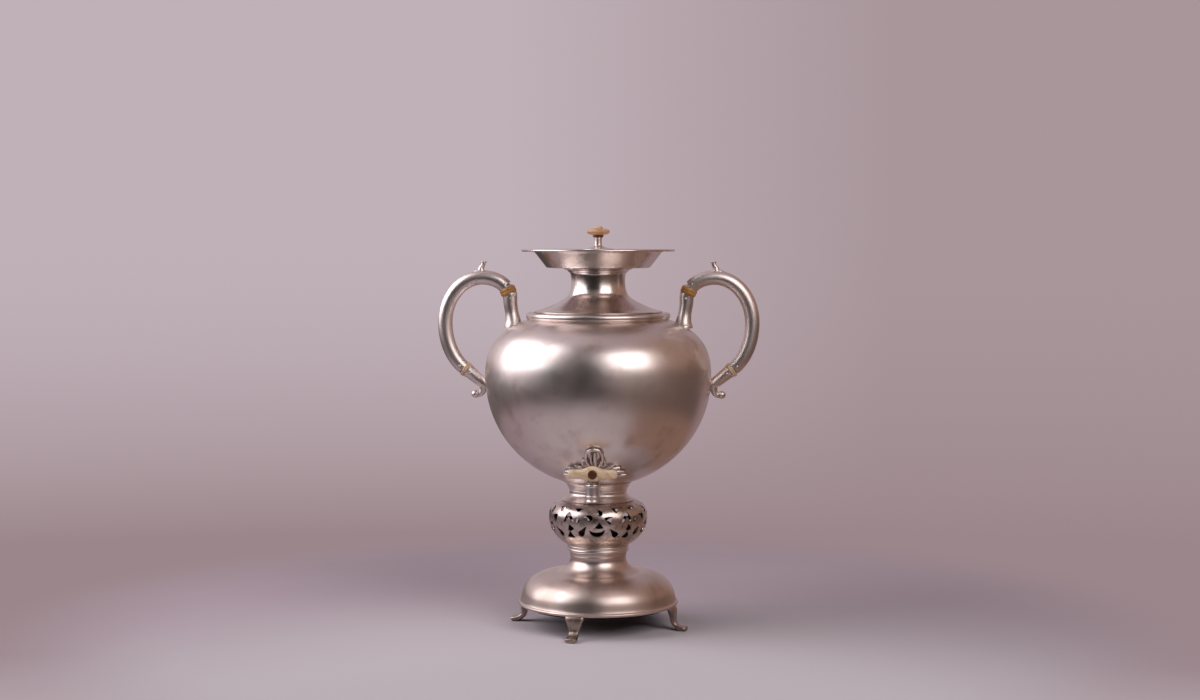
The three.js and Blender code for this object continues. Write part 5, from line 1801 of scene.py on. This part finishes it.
    def spur_shape(self) -> Mesh:
        """Returns the thumb spur: a leaf along the crown, a leaning stem and a cross cap.

        Returns:
            The leaf, the stem and the cap.
        """
        crest = Vector((self.crown_x, 0, self.crown_z + self.tube))
        rest = Vector((0, 0, self.tube - 0.9))
        leaf_places = [self.outer(turn)[0] + rest for turn in (-1, 4, 9, 14, 18)]
        leaf = path_sections(leaf_places, [(1.8, 1.4), (3.2, 2.5), (3.0, 2.0), (1.9, 1.4), (0.5, 0.5)], 4)
        # The stem's places from the crest, from its foot to its head
        steps = ((1.7, -1.2), (1.2, 2.2), (-0.3, 4.8), (-1.2, 7.6))
        stem_places = [crest + Vector((across, 0, up)) for across, up in steps]
        stem = path_sections(stem_places, [(3.6, 4.2), (2.9, 3.1), (2.3, 2.3), (2.2, 2.2)], 5)
        cap = [
            (0.0, -0.4), (1.6, -0.3), (3.2, 0.1),
            *oval((2.6, 0.85), (0.8, -0.75), 2, 60, 0, 4),
            *oval((2.6, 0.9), (0.8, 0.6), 2, 0, 80, 4),
            (0.0, 1.7),
        ]
        button = turned_to(spun(cap, segments=48), Matrix.Translation(stem_places[-1]))
        return merged(swept(leaf, sides=32), swept(stem, sides=32), button)

    def build(self, shop: Workshop) -> None:
        """Builds every part of the handle.

        Args:
            shop: The workshop that finishes the pieces.
        """
        upper, lower = self.inner(self.upper_turn), self.outer(90 + self.lower_turn)
        amber, pale = self.ring_shape(self.upper_ring, *upper), self.ring_shape(self.lower_ring, *lower)
        self.add(shop, "shoulder_socket", self.upper_socket_shape(), BUFFED_SILVER, "upper_socket")
        self.add(shop, "amber_ring", amber, AMBER_IVORY, "upper_ivory_ring")
        self.add(shop, "hand_grip", self.grip_shape(), BUFFED_SILVER, "grip")
        self.add(shop, "pale_ring", pale, PALE_IVORY, "lower_ivory_ring")
        self.add(shop, "tailed_socket", self.lower_socket_shape(), BUFFED_SILVER, "lower_socket")
        self.add(shop, "leaf_spur", self.spur_shape(), BUFFED_SILVER, "thumb_spur")


# Tap


@dataclass(frozen=True)
class Tap:
    """The tap: a barrel on a bent shank, its spout, and the cast leaves behind it."""

    bowl: Bowl
    reach: float = 110.0
    root: float = 73.036
    shank: float = 5.0
    barrel: float = 6.5
    barrel_foot: float = 150.5
    barrel_height: float = 13.0
    spout: float = 5.9
    spout_length: float = 4.8
    spout_slant: float = 0.12
    # Height at which the shank meets the barrel, as a share, and its straight run from the bowl
    port: float = 0.42
    straight: float = 9.0
    plate_foot: float = 163.2
    plate_width: float = 62.0
    plate_height: float = 40.0

    def front(self, mesh: Mesh) -> Mesh:
        """Turns a shape made towards +X to the front of the urn."""
        return turned_to(mesh, Matrix.Rotation(-math.pi / 2, 4, "Z"))

    def shank_shape(self) -> Mesh:
        """Returns the shank, from inside the bowl down and out to the barrel.

        Returns:
            The shank with its rose.
        """
        root_z = self.bowl.underside(self.root)
        slope = (self.bowl.widest - root_z) / self.bowl.lower_rise**2
        out = Vector((self.root / self.bowl.radius**2, 0, -slope)).normalized()
        start = Vector((self.root, 0, root_z))
        port = mix(self.barrel_foot, self.barrel_foot + self.barrel_height, self.port)
        bend = start + out * self.straight
        corner = Vector(((start + out * ((root_z - port) / -out.z)).x, 0, port))
        end = Vector((self.reach - self.barrel * 0.5, 0, port))
        places = [start - out * self.straight, start - out * 2, start + out * 4]
        for step in range(13):
            t = step / 12
            places.append(bend.lerp(corner, t).lerp(corner.lerp(end, t), t))
        sections = [Section(at, along, self.shank, self.shank) for at, along in zip(places, headings(places))]
        rose = [
            (self.shank - 0.4, -1.0), (self.shank + 4.0, -1.0),
            *oval((self.shank + 2.2, 0.3), (2.2, 1.3), 2, 0, 80, 6),
            (self.shank + 0.8, 2.2), (self.shank + 0.8, 3.0), (self.shank - 0.4, 3.4),
        ]
        flange = turned_to(spun(softened(rose, 0.3), segments=72), standing(start, out))
        return merged(swept(sections), flange)

    def barrel_shape(self) -> Mesh:
        """Returns the barrel with its mouldings and its slanted spout.

        Returns:
            The closed mesh.
        """
        foot, top = self.barrel_foot, self.barrel_foot + self.barrel_height
        low = foot - self.spout_length - 1.6
        wall = [
            (3.6, low), (self.spout + 0.5, low),
            *oval((self.spout + 1.6, foot - 1.4), (-1.7, -2.8), 2, 80, 0, 8),
            (self.spout + 0.1, foot - 0.6), (self.barrel + 0.5, foot), (self.barrel + 0.5, foot + 1.2),
            (self.barrel - 0.2, foot + 1.8), (self.barrel - 0.1, top - 3.0),
            *oval((self.barrel - 0.1, top - 1.6), (0.9, -1.0), 2, 80, 0, 5),
            *oval((self.barrel - 0.1, top - 1.0), (0.9, 1.0), 2, 0, 80, 5),
            (5.2, top), (5.2, top - 0.6), (4.2, foot), (3.6, foot - 1),
        ]
        mesh = spun(softened(wall, 0.3), segments=96)
        bmesh.ops.bisect_plane(
            mesh, geom=[*mesh.verts, *mesh.edges, *mesh.faces], plane_co=(0, 0, low + 1.0),
            plane_no=(self.spout_slant, 0, -1.0), clear_outer=True,
        )
        bmesh.ops.bridge_loops(mesh, edges=[e for e in mesh.edges if e.is_boundary])
        return turned_to(mesh, Matrix.Translation((self.reach, 0, 0)))

    def plate_outline(self) -> list[Point]:
        """Returns the leafy outline of the plate, as seen from the front.

        Returns:
            Its points, across and up.
        """
        half = [
            (0.0, 0.0), (0.16, 0.02), (0.3, 0.1), (0.44, 0.13), (0.6, 0.05), (0.82, 0.05), (0.99, 0.14),
            (0.98, 0.24), (0.88, 0.28), (0.86, 0.36), (0.72, 0.39), (0.6, 0.37), (0.5, 0.42), (0.4, 0.4),
            (0.28, 0.44), (0.2, 0.5), (0.22, 0.58), (0.26, 0.68), (0.22, 0.78), (0.12, 0.85), (0.0, 0.87),
        ]
        right = [(x * self.plate_width / 2, self.plate_foot + z * self.plate_height) for x, z in half]
        left = [(-x, z) for x, z in right[-2:0:-1]]
        return rounded([*right, *left], 4)

    def plate_shape(self) -> Mesh:
        """Returns the cast leaves, swelled from their edges and veined, lying on the bowl.

        Returns:
            The closed mesh.
        """
        outline = self.plate_outline()
        wide = self.plate_width / 2
        loop = [(0.055, 0.54), (0.13, 0.53), (0.18, 0.62), (0.18, 0.72), (0.11, 0.8), (0.055, 0.78)]
        holes = []
        for way in (1, -1):
            points = [(way * x * wide, self.plate_foot + z * self.plate_height) for x, z in loop]
            holes.append(rounded(points[::way], 3))
        loops = [outline, *holes]

        def swelled(spot: Vector) -> Vector:
            """Returns where a place of the flat sheet comes to lie, swelled and veined.

            Args:
                spot: The place on the flat sheet.

            Returns:
                The place on the bowl.
            """
            swell = 1 - (1 - min(edge_distance(spot, loops) / 3.2, 1.0)) ** 2
            across = abs(spot.x) / wide
            veins = 0.0
            if (spot.z - self.plate_foot) / self.plate_height < 0.6:
                fan = math.atan2(spot.z - self.plate_foot - 2, abs(spot.x) + 1.5)
                veins = 0.55 * math.cos(fan * 14) * smooth(across, 0.15, 0.4)
            place, out = self.bowl.front(spot.x, spot.z)
            return place + out * (0.4 + swell * (1.3 + veins))

        def laid(spot: Vector) -> Vector:
            """Returns the place on the bowl behind one of the flat sheet."""
            place, out = self.bowl.front(spot.x, spot.z)
            return place - out * 0.3

        return walled(flat_sheet(outline, holes, (1.0, 1.0)), swelled, laid)

    def scroll(self, points: Sequence[Point], sizes: Sequence[float], lift: float) -> Mesh:
        """Returns a tapered round scroll that follows the bowl.

        Args:
            points: Its places as seen from the front.
            sizes: Its radius at each place.
            lift: How far it stands off the bowl.

        Returns:
            The closed mesh.
        """
        thinnest = 0.15
        spots = [self.bowl.front(x, z) for x, z in rounded(points, 6, ring=False)]
        radii = [max(size, thinnest) for size, _ in rounded([(size, size) for size in sizes], 6, ring=False)]
        places = [place + out * lift for place, out in spots]
        sections = [
            Section(at, along, radius, radius, side=out)
            for at, along, radius, (_, out) in zip(places, headings(places), radii, spots)
        ]
        return swept([*sections, *round_end(sections[-1], reach=sizes[-1], steps=4)], sides=20)

    def crest_shape(self) -> Mesh:
        """Returns the horseshoe of scrolls on top of the plate, with its middle bar.

        Returns:
            The scrolls and bars.
        """
        foot = self.plate_foot
        parts = []
        for way in (1, -1):
            arch = [(way * x + 0.6, foot + z) for x, z in (
                (1.4, 15.6), (4.6, 17.2), (7.6, 21.6), (8.3, 26.2), (7.5, 30.8), (4.6, 33.9), (0.0, 34.9))]
            parts.append(self.scroll(arch, (1.0, 1.15, 1.35, 1.5, 1.5, 1.5, 1.5), 2.7))
            curl = [(way * x, foot + z) for x, z in (
                (3.6, 16.2), (5.8, 18.6), (8.2, 23.0), (10.6, 22.4), (11.2, 18.6), (9.4, 16.6), (8.0, 18.2))]
            parts.append(self.scroll(curl, (0.9, 1.1, 1.3, 1.3, 1.2, 1.0, 0.8), 2.3))
        bar = [(1.6, foot + z) for z in (17.0, 21.0, 26.0, 31.0)]
        parts.append(self.scroll(bar, (1.0, 1.4, 2.0, 1.2), 2.8))
        side_bar = [(-1.6, foot + 17), (-2.8, foot + 23), (-2.2, foot + 29)]
        parts.append(self.scroll(side_bar, (0.8, 1.1, 0.7), 2.0))
        return merged(*parts)

    def lobe_shapes(self) -> Mesh:
        """Returns the plump lobes of the two side leaves, each with the ball at its root.

        Returns:
            The lobes of both sides.
        """
        lobes = (
            ((10.5, 9.0), (20.0, 5.4), (30.2, 5.6), 2.3), ((11.0, 10.4), (20.5, 9.8), (28.6, 9.4), 2.5),
            ((10.0, 11.6), (17.5, 13.0), (24.6, 14.2), 2.4),
            ((8.6, 12.6), (13.4, 15.0), (18.0, 16.4), 2.0), ((9.0, 7.6), (15.5, 3.8), (22.6, 1.8), 1.9),
        )
        parts = []
        for way in (1, -1):
            for root, knee, tip, size in lobes:
                line = [(way * x, self.plate_foot + z) for x, z in (root, knee, tip)]
                parts.append(self.scroll(line, (0.9, size, size * 0.62), 2.1))
        return merged(*parts)

    def build(self, shop: Workshop) -> None:
        """Builds the body and the leaves.

        Args:
            shop: The workshop that finishes the pieces.
        """
        shop.piece("tap_barrel", self.front(self.barrel_shape()), BUFFED_SILVER, Body.URN, ["tap_body"])
        shop.piece("tap_shank", self.front(self.shank_shape()), BUFFED_SILVER, Body.URN, ["tap_body"])
        shop.piece("tap_leaves", self.plate_shape(), CAST_SILVER, Body.URN, ["tap_leaf_plate"], crease=60)
        shop.piece("tap_crest_scrolls", self.crest_shape(), BUFFED_SILVER, Body.URN, ["tap_leaf_plate"])
        shop.piece("tap_leaf_lobes", self.lobe_shapes(), BUFFED_SILVER, Body.URN, ["tap_leaf_plate"])


@dataclass(frozen=True)
class TapKey:
    """The key of the tap: its plug, the ivory cross bar and the dark pin through it."""

    reach: float = 110.0
    barrel_foot: float = 150.5
    barrel_top: float = 163.5
    lever_foot: float = 165.4
    lever_height: float = 16.0
    lever_face: float = 4.8
    stem: float = 3.0
    bore: float = 2.2
    pin: float = 4.7

    def build(self, shop: Workshop) -> None:
        """Builds the three pieces in front of the bowl.

        Args:
            shop: The workshop that finishes the pieces.
        """
        shift = Matrix.Translation((0, -self.reach, 0))
        middle = self.lever_foot + self.lever_height / 2
        plug = [
            (self.bore, self.barrel_foot + 0.6), (3.9, self.barrel_foot + 0.6),
            (4.9, self.barrel_top + 0.3), (6.4, self.barrel_top + 0.3), (6.6, self.barrel_top + 1.0),
            (6.0, self.lever_foot - 0.3), (self.stem, self.lever_foot - 0.2), (self.stem, middle + 4),
            (0.0, middle + 4), (0.0, self.barrel_top - 3), (self.bore, self.barrel_top - 3.2),
        ]
        mesh = spun(softened(plug, 0.3), segments=72)
        shop.piece("tap_plug_key", turned_to(mesh, shift), CAST_SILVER, Body.KEY, ["tap_plug"])
        # Half-length, half-height and half-thickness along the bar
        stations = [
            (24.4, 1.9, 1.3), (23.6, 3.4, 2.3), (22.0, 4.2, 3.0), (18.6, 4.4, 3.3), (14.6, 4.35, 3.7),
            (10.6, 4.9, 4.3), (7.2, 6.2, 4.7), (4.0, 7.5, 4.8), (0.0, 8.0, 4.8),
        ]
        full = [*((-x, h, t) for x, h, t in stations), *((x, h, t) for x, h, t in stations[-2::-1])]
        places = [Vector((x, 0, middle)) for x, _, _ in full]
        sections = path_sections(places, [(t, h) for _, h, t in full], 4, power=2.7)
        bar = turned_to(swept(sections, sides=56), shift)
        shop.piece("ivory_cross_bar", bar, CREAM_IVORY, Body.KEY, ["tap_lever"])
        face = self.lever_face
        head = [
            (0.0, -face - 1.2), (1.6, -face - 1.25), (3.0, -face - 1.0), (self.pin - 0.4, -face - 0.6),
            (self.pin, -face + 0.2), (1.5, -face + 0.4),
        ]
        whole = [*head, *((r, -z) for r, z in reversed(head))]
        pin = spun(softened(whole, 0.3, ring=False), segments=48)
        turned_to(pin, Matrix.Rotation(math.pi / 2, 4, "X"))
        turned_to(pin, Matrix.Translation((0, -self.reach, middle)))
        shop.piece("cross_bar_pin", pin, DARK_HORN, Body.KEY, ["lever_pin"])


# The studio


@dataclass(frozen=True)
class Lamp:
    """A soft rectangular light that shines at the urn's middle from a distance in metres."""

    name: str
    toward: tuple[float, float, float]
    distance: float
    size: Point
    watts: float
    tint: str
    roll: float = 0.0
    mirrored: bool = True

    def build(self, centre: Vector) -> None:
        """Hangs the light.

        Args:
            centre: The urn's middle.
        """
        data = bpy.data.lights.new(self.name, "AREA")
        data.shape = "RECTANGLE"
        data.size, data.size_y = self.size
        data.energy = self.watts
        data.color = linear(self.tint)[:3]
        lamp = bpy.data.objects.new(self.name, data)
        bpy.context.scene.collection.objects.link(lamp)
        toward = Vector(self.toward)
        spin = Matrix.Rotation(math.radians(self.roll), 4, "Z")
        lamp.location = centre + toward.normalized() * self.distance
        lamp.rotation_euler = ((-toward).to_track_quat("-Z", "Y").to_matrix().to_4x4() @ spin).to_euler()
        lamp.visible_glossy = self.mirrored


@dataclass(frozen=True)
class PaintedReflection:
    """A painted reflection: a glowing sheet out of the picture, which the silver alone reflects, standing in for
    a dim room.

    It spans turns from the camera's side and rises from the urn's middle, both in degrees.
    """

    name: str
    turns: Point
    rises: Point
    tone: str
    distance: float = 2.6
    off_floor: float = 0.005

    def shape(self, centre: Vector) -> Mesh:
        """Returns the sheet, whose lower part lies just above the floor.

        Args:
            centre: The urn's middle.

        Returns:
            The mesh in metres.
        """
        mesh = bmesh.new()
        bmesh.ops.create_grid(mesh, x_segments=40, y_segments=30, size=0.5)
        for vert in mesh.verts:
            turn = math.radians(mix(*self.turns, vert.co.x + 0.5))
            rise = math.radians(mix(*self.rises, vert.co.y + 0.5))
            reach = self.distance
            if rise < 0:
                reach = min(reach, (centre.z - self.off_floor) / math.sin(-rise))
            level = reach * math.cos(rise)
            vert.co = (level * math.sin(turn), -level * math.cos(turn), centre.z + reach * math.sin(rise))
        return mesh


@dataclass(frozen=True)
class Studio:
    """A mauve-grey paper floor and backdrop with painted light and shade, three soft lights, painted reflections
    for the silver, and the camera.
    """

    # The camera: metres off and up, its turns in degrees, its lens and its shift in pixels of the frame
    distance: float = 2.0
    eye: float = 0.406
    pitch: float = 3.31
    azimuth: float = 2.9
    lens: float = 57.58
    shift_px: float = -1.8
    frame_px: int = 1200
    # The paper: its radius, its colour near the urn, its painted shade behind it, darker where less light falls,
    # and how far off the change is
    floor_radius: float = 0.69
    paper: str = "#e0d6da"
    far_paper: str = "#c6b2bc"
    paper_change: Point = (0.3, 0.75)
    change_shift: float = 0.45
    # Shares of the radius between which the paper turns to a glowing rim in the backdrop's painted light and
    # shade, and that gets paler to the front
    plain_from: Point = (0.62, 0.98)
    paler_from: Point = (0.25, 0.8)
    # The backdrop, with painted light and shade: paler above on the left, darker on the right, brown far aside,
    # darker below behind and paler below in front
    high_left: str = "#c0b1b8"
    high_right: str = "#a8969b"
    aside: str = "#977a6c"
    low: str = "#9b868b"
    near: str = "#c3b6bc"
    # The room's even light, and parts of a direction between which the backdrop changes
    room: str = "#322d2b"
    left_to_right: Point = (-0.1, 0.1)
    right_to_aside: Point = (0.34, 0.6)
    behind_to_front: Point = (0.3, -0.3)
    high_to_low: Point = (0.01, -0.151)
    urn_middle: float = 0.25
    lamps: tuple[Lamp, ...] = (
        Lamp("left_window", (-0.842, -0.092, 0.5), 1.6, (1.85, 1.45), 21.0, "#f8f7fd", roll=15.0),
        Lamp("right_window", (0.498, -0.686, 0.51), 1.7, (1.2, 1.05), 10.0, "#fbf9fc"),
        Lamp("overhead_light", (-0.1, -0.15, 1.0), 1.4, (0.9, 0.9), 3.0, "#fffaf6", mirrored=False),
    )
    # Painted reflections: dark and brown glowing sheets that only the silver shows, for the dim room round the
    # urn
    cloths: tuple[PaintedReflection, ...] = (
        PaintedReflection("dark_cloth", (-62, 12), (-22, 26), "#1d1918"),
        PaintedReflection("upper_cloth", (-50, 12), (26, 70), "#665d5a"),
        PaintedReflection("brown_cloth", (12, 130), (-25, 6), "#5c4c46"),
        PaintedReflection("left_cloth", (-165, -62), (-20, 0), "#4c4543"),
        PaintedReflection("floor_cloth", (36, 150), (-56, -25), "#876a5e"),
    )

    def camera(self) -> None:
        """Places the camera at the photograph's angle."""
        data = bpy.data.cameras.new("view")
        data.sensor_width, data.lens = 36.0, self.lens
        data.clip_end = 50.0
        data.shift_x = -self.shift_px / self.frame_px
        camera = bpy.data.objects.new("view", data)
        bpy.context.scene.collection.objects.link(camera)
        turn = math.radians(self.azimuth)
        camera.location = (self.distance * math.sin(turn), -self.distance * math.cos(turn), self.eye)
        camera.rotation_euler = (math.radians(90 - self.pitch), 0, turn)
        bpy.context.scene.camera = camera

    def world(self) -> None:
        """Lights the room evenly and paints light and shade into the backdrop behind, paler above and on the
        left.
        """
        world = bpy.data.worlds.new("studio")
        bpy.context.scene.world = world
        world.use_nodes = True
        tree = world.node_tree
        tree.nodes.clear()
        direction = add_node(tree, "ShaderNodeTexCoord").outputs["Generated"]
        axes = add_node(tree, "ShaderNodeSeparateXYZ", {"Vector": direction}).outputs
        # Painted light and shade: the backdrop's colours change with direction as if the lamps lit it unevenly
        high = blended(tree, axes["X"], self.left_to_right, linear(self.high_left), linear(self.high_right))
        high = blended(tree, axes["X"], self.right_to_aside, high, linear(self.aside))
        low = blended(tree, axes["Y"], self.behind_to_front, linear(self.low), linear(self.near))
        level, foot = self.high_to_low
        limits = {"Value": axes["Z"], "From Min": level, "From Max": foot}
        depth = add_node(tree, "ShaderNodeMapRange", limits)
        fall = add_node(tree, "ShaderNodeMath", {0: depth.outputs["Result"], 1: 2.0}, operation="POWER")
        inputs = {MIX_SHARE: fall.outputs["Value"], MIX_FROM: high, MIX_TO: low}
        paper = add_node(tree, "ShaderNodeMix", inputs, data_type="RGBA").outputs[MIXED]
        # The backdrop is for the eye, metal and glass. All else gets the room's even light
        path = add_node(tree, "ShaderNodeLightPath").outputs
        inputs = {0: path["Is Camera Ray"], 1: path["Is Glossy Ray"]}
        seen = add_node(tree, "ShaderNodeMath", inputs, operation="ADD").outputs["Value"]
        inputs = {0: seen, 1: path["Is Transmission Ray"]}
        seen = add_node(tree, "ShaderNodeMath", inputs, operation="ADD", use_clamp=True).outputs["Value"]
        inputs = {MIX_SHARE: seen, MIX_FROM: linear(self.room), MIX_TO: paper}
        colour = add_node(tree, "ShaderNodeMix", inputs, data_type="RGBA").outputs[MIXED]
        shader = add_node(tree, "ShaderNodeBackground", {"Color": colour, "Strength": 1.0})
        add_node(tree, "ShaderNodeOutputWorld", {"Surface": shader.outputs["Background"]})

    def staged(self, name: str, mesh: Mesh, material: bpy.types.Material) -> bpy.types.Object:
        """Adds a piece of the studio.

        Args:
            name: Name of the piece.
            mesh: Its shape in metres, which is used up.
            material: Its material.

        Returns:
            The object.
        """
        data = bpy.data.meshes.new(name)
        mesh.to_mesh(data)
        mesh.free()
        data.materials.append(material)
        thing = bpy.data.objects.new(name, data)
        bpy.context.scene.collection.objects.link(thing)
        return thing

    def hang(self, cloth: PaintedReflection, centre: Vector) -> None:
        """Hangs a painted reflection: a glowing sheet seen in reflections only.

        Args:
            cloth: The painted reflection.
            centre: The urn's middle.
        """
        material, tree, _ = start_material(cloth.name)
        # Painted reflection: the sheet glows with its tone and is hidden from the eye, from diffuse light and
        # from shadows
        shader = add_node(tree, "ShaderNodeEmission", {"Color": linear(cloth.tone), "Strength": 1.0})
        add_node(tree, "ShaderNodeOutputMaterial", {"Surface": shader.outputs["Emission"]})
        thing = self.staged(cloth.name, cloth.shape(centre), material)
        thing.visible_camera = thing.visible_diffuse = thing.visible_shadow = False

    def floor(self) -> None:
        """Lays the paper, which keeps the shadow near the urn, darkens towards the back with painted shade and
        turns far off to a glowing rim of backdrop.
        """
        mesh = bmesh.new()
        bmesh.ops.create_circle(mesh, cap_ends=True, radius=self.floor_radius, segments=128)
        material, tree, place = start_material("matt_backdrop_paper")
        easing = {"interpolation_type": "SMOOTHSTEP"}
        shift = {0: place, 1: (0.0, self.change_shift, 0.0)}
        shifted = add_node(tree, "ShaderNodeVectorMath", shift, operation="ADD").outputs["Vector"]
        behind = add_node(tree, "ShaderNodeVectorMath", {0: shifted}, operation="LENGTH").outputs["Value"]
        # Painted shade: the paper darkens away from the front, where less light reaches it
        tone = blended(tree, behind, self.paper_change, linear(self.paper), linear(self.far_paper), **easing)
        matt = add_node(tree, "ShaderNodeBsdfDiffuse", {"Color": tone, "Roughness": 0.6})
        front = add_node(tree, "ShaderNodeSeparateXYZ", {"Vector": place}).outputs["Y"]
        paler = tuple(-self.floor_radius * share for share in self.paler_from)
        rim = blended(tree, front, paler, linear(self.low), linear(self.near))
        # Painted light: the rim glows in the backdrop's colours instead of being lit
        plain = add_node(tree, "ShaderNodeEmission", {"Color": rim, "Strength": 1.0})
        far = add_node(tree, "ShaderNodeVectorMath", {0: place}, operation="LENGTH").outputs["Value"]
        start, end = (self.floor_radius * share for share in self.plain_from)
        limits = {"Value": far, "From Min": start, "From Max": end}
        share = add_node(tree, "ShaderNodeMapRange", limits, **easing).outputs["Result"]
        shaders = {0: share, 1: matt.outputs["BSDF"], 2: plain.outputs["Emission"]}
        surface = add_node(tree, "ShaderNodeMixShader", shaders)
        add_node(tree, "ShaderNodeOutputMaterial", {"Surface": surface.outputs["Shader"]})
        self.staged("paper_floor", mesh, material)

    def build(self) -> None:
        """Sets the studio up."""
        bpy.context.scene.view_settings.view_transform = "Standard"
        self.camera()
        self.world()
        self.floor()
        centre = Vector((0, 0, self.urn_middle))
        for lamp in self.lamps:
            lamp.build(centre)
        for cloth in self.cloths:
            self.hang(cloth, centre)


def main() -> None:
    """Builds the urn over its frame."""
    logging.basicConfig(level=logging.INFO, format="%(name)s %(message)s")
    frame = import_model()
    shop = Workshop()
    bowl = Bowl()
    assemblies = [
        Base(),
        Feet(),
        Stem(),
        Gallery(),
        SpiritLamp(),
        bowl,
        Mouth(),
        Lid(),
        Handle(bowl, Side.RIGHT),
        Handle(bowl, Side.LEFT),
        Tap(bowl),
        TapKey(),
    ]
    for assembly in assemblies:
        assembly.build(shop)
    for name in ("stem_bolt", "stem_washer", "stem_nut", "lid_nut"):
        shop.carry_over(frame["nodes"], name, BOLT_STEEL)
    for name in ("tap_nut", "inlet_strainer"):
        shop.carry_over(frame["nodes"], name, INNER_SILVER)
    shop.carry_over(frame["nodes"], "tap_washer", WASHER_LEATHER)
    Studio().build()


if __name__ == "__main__":
    main()
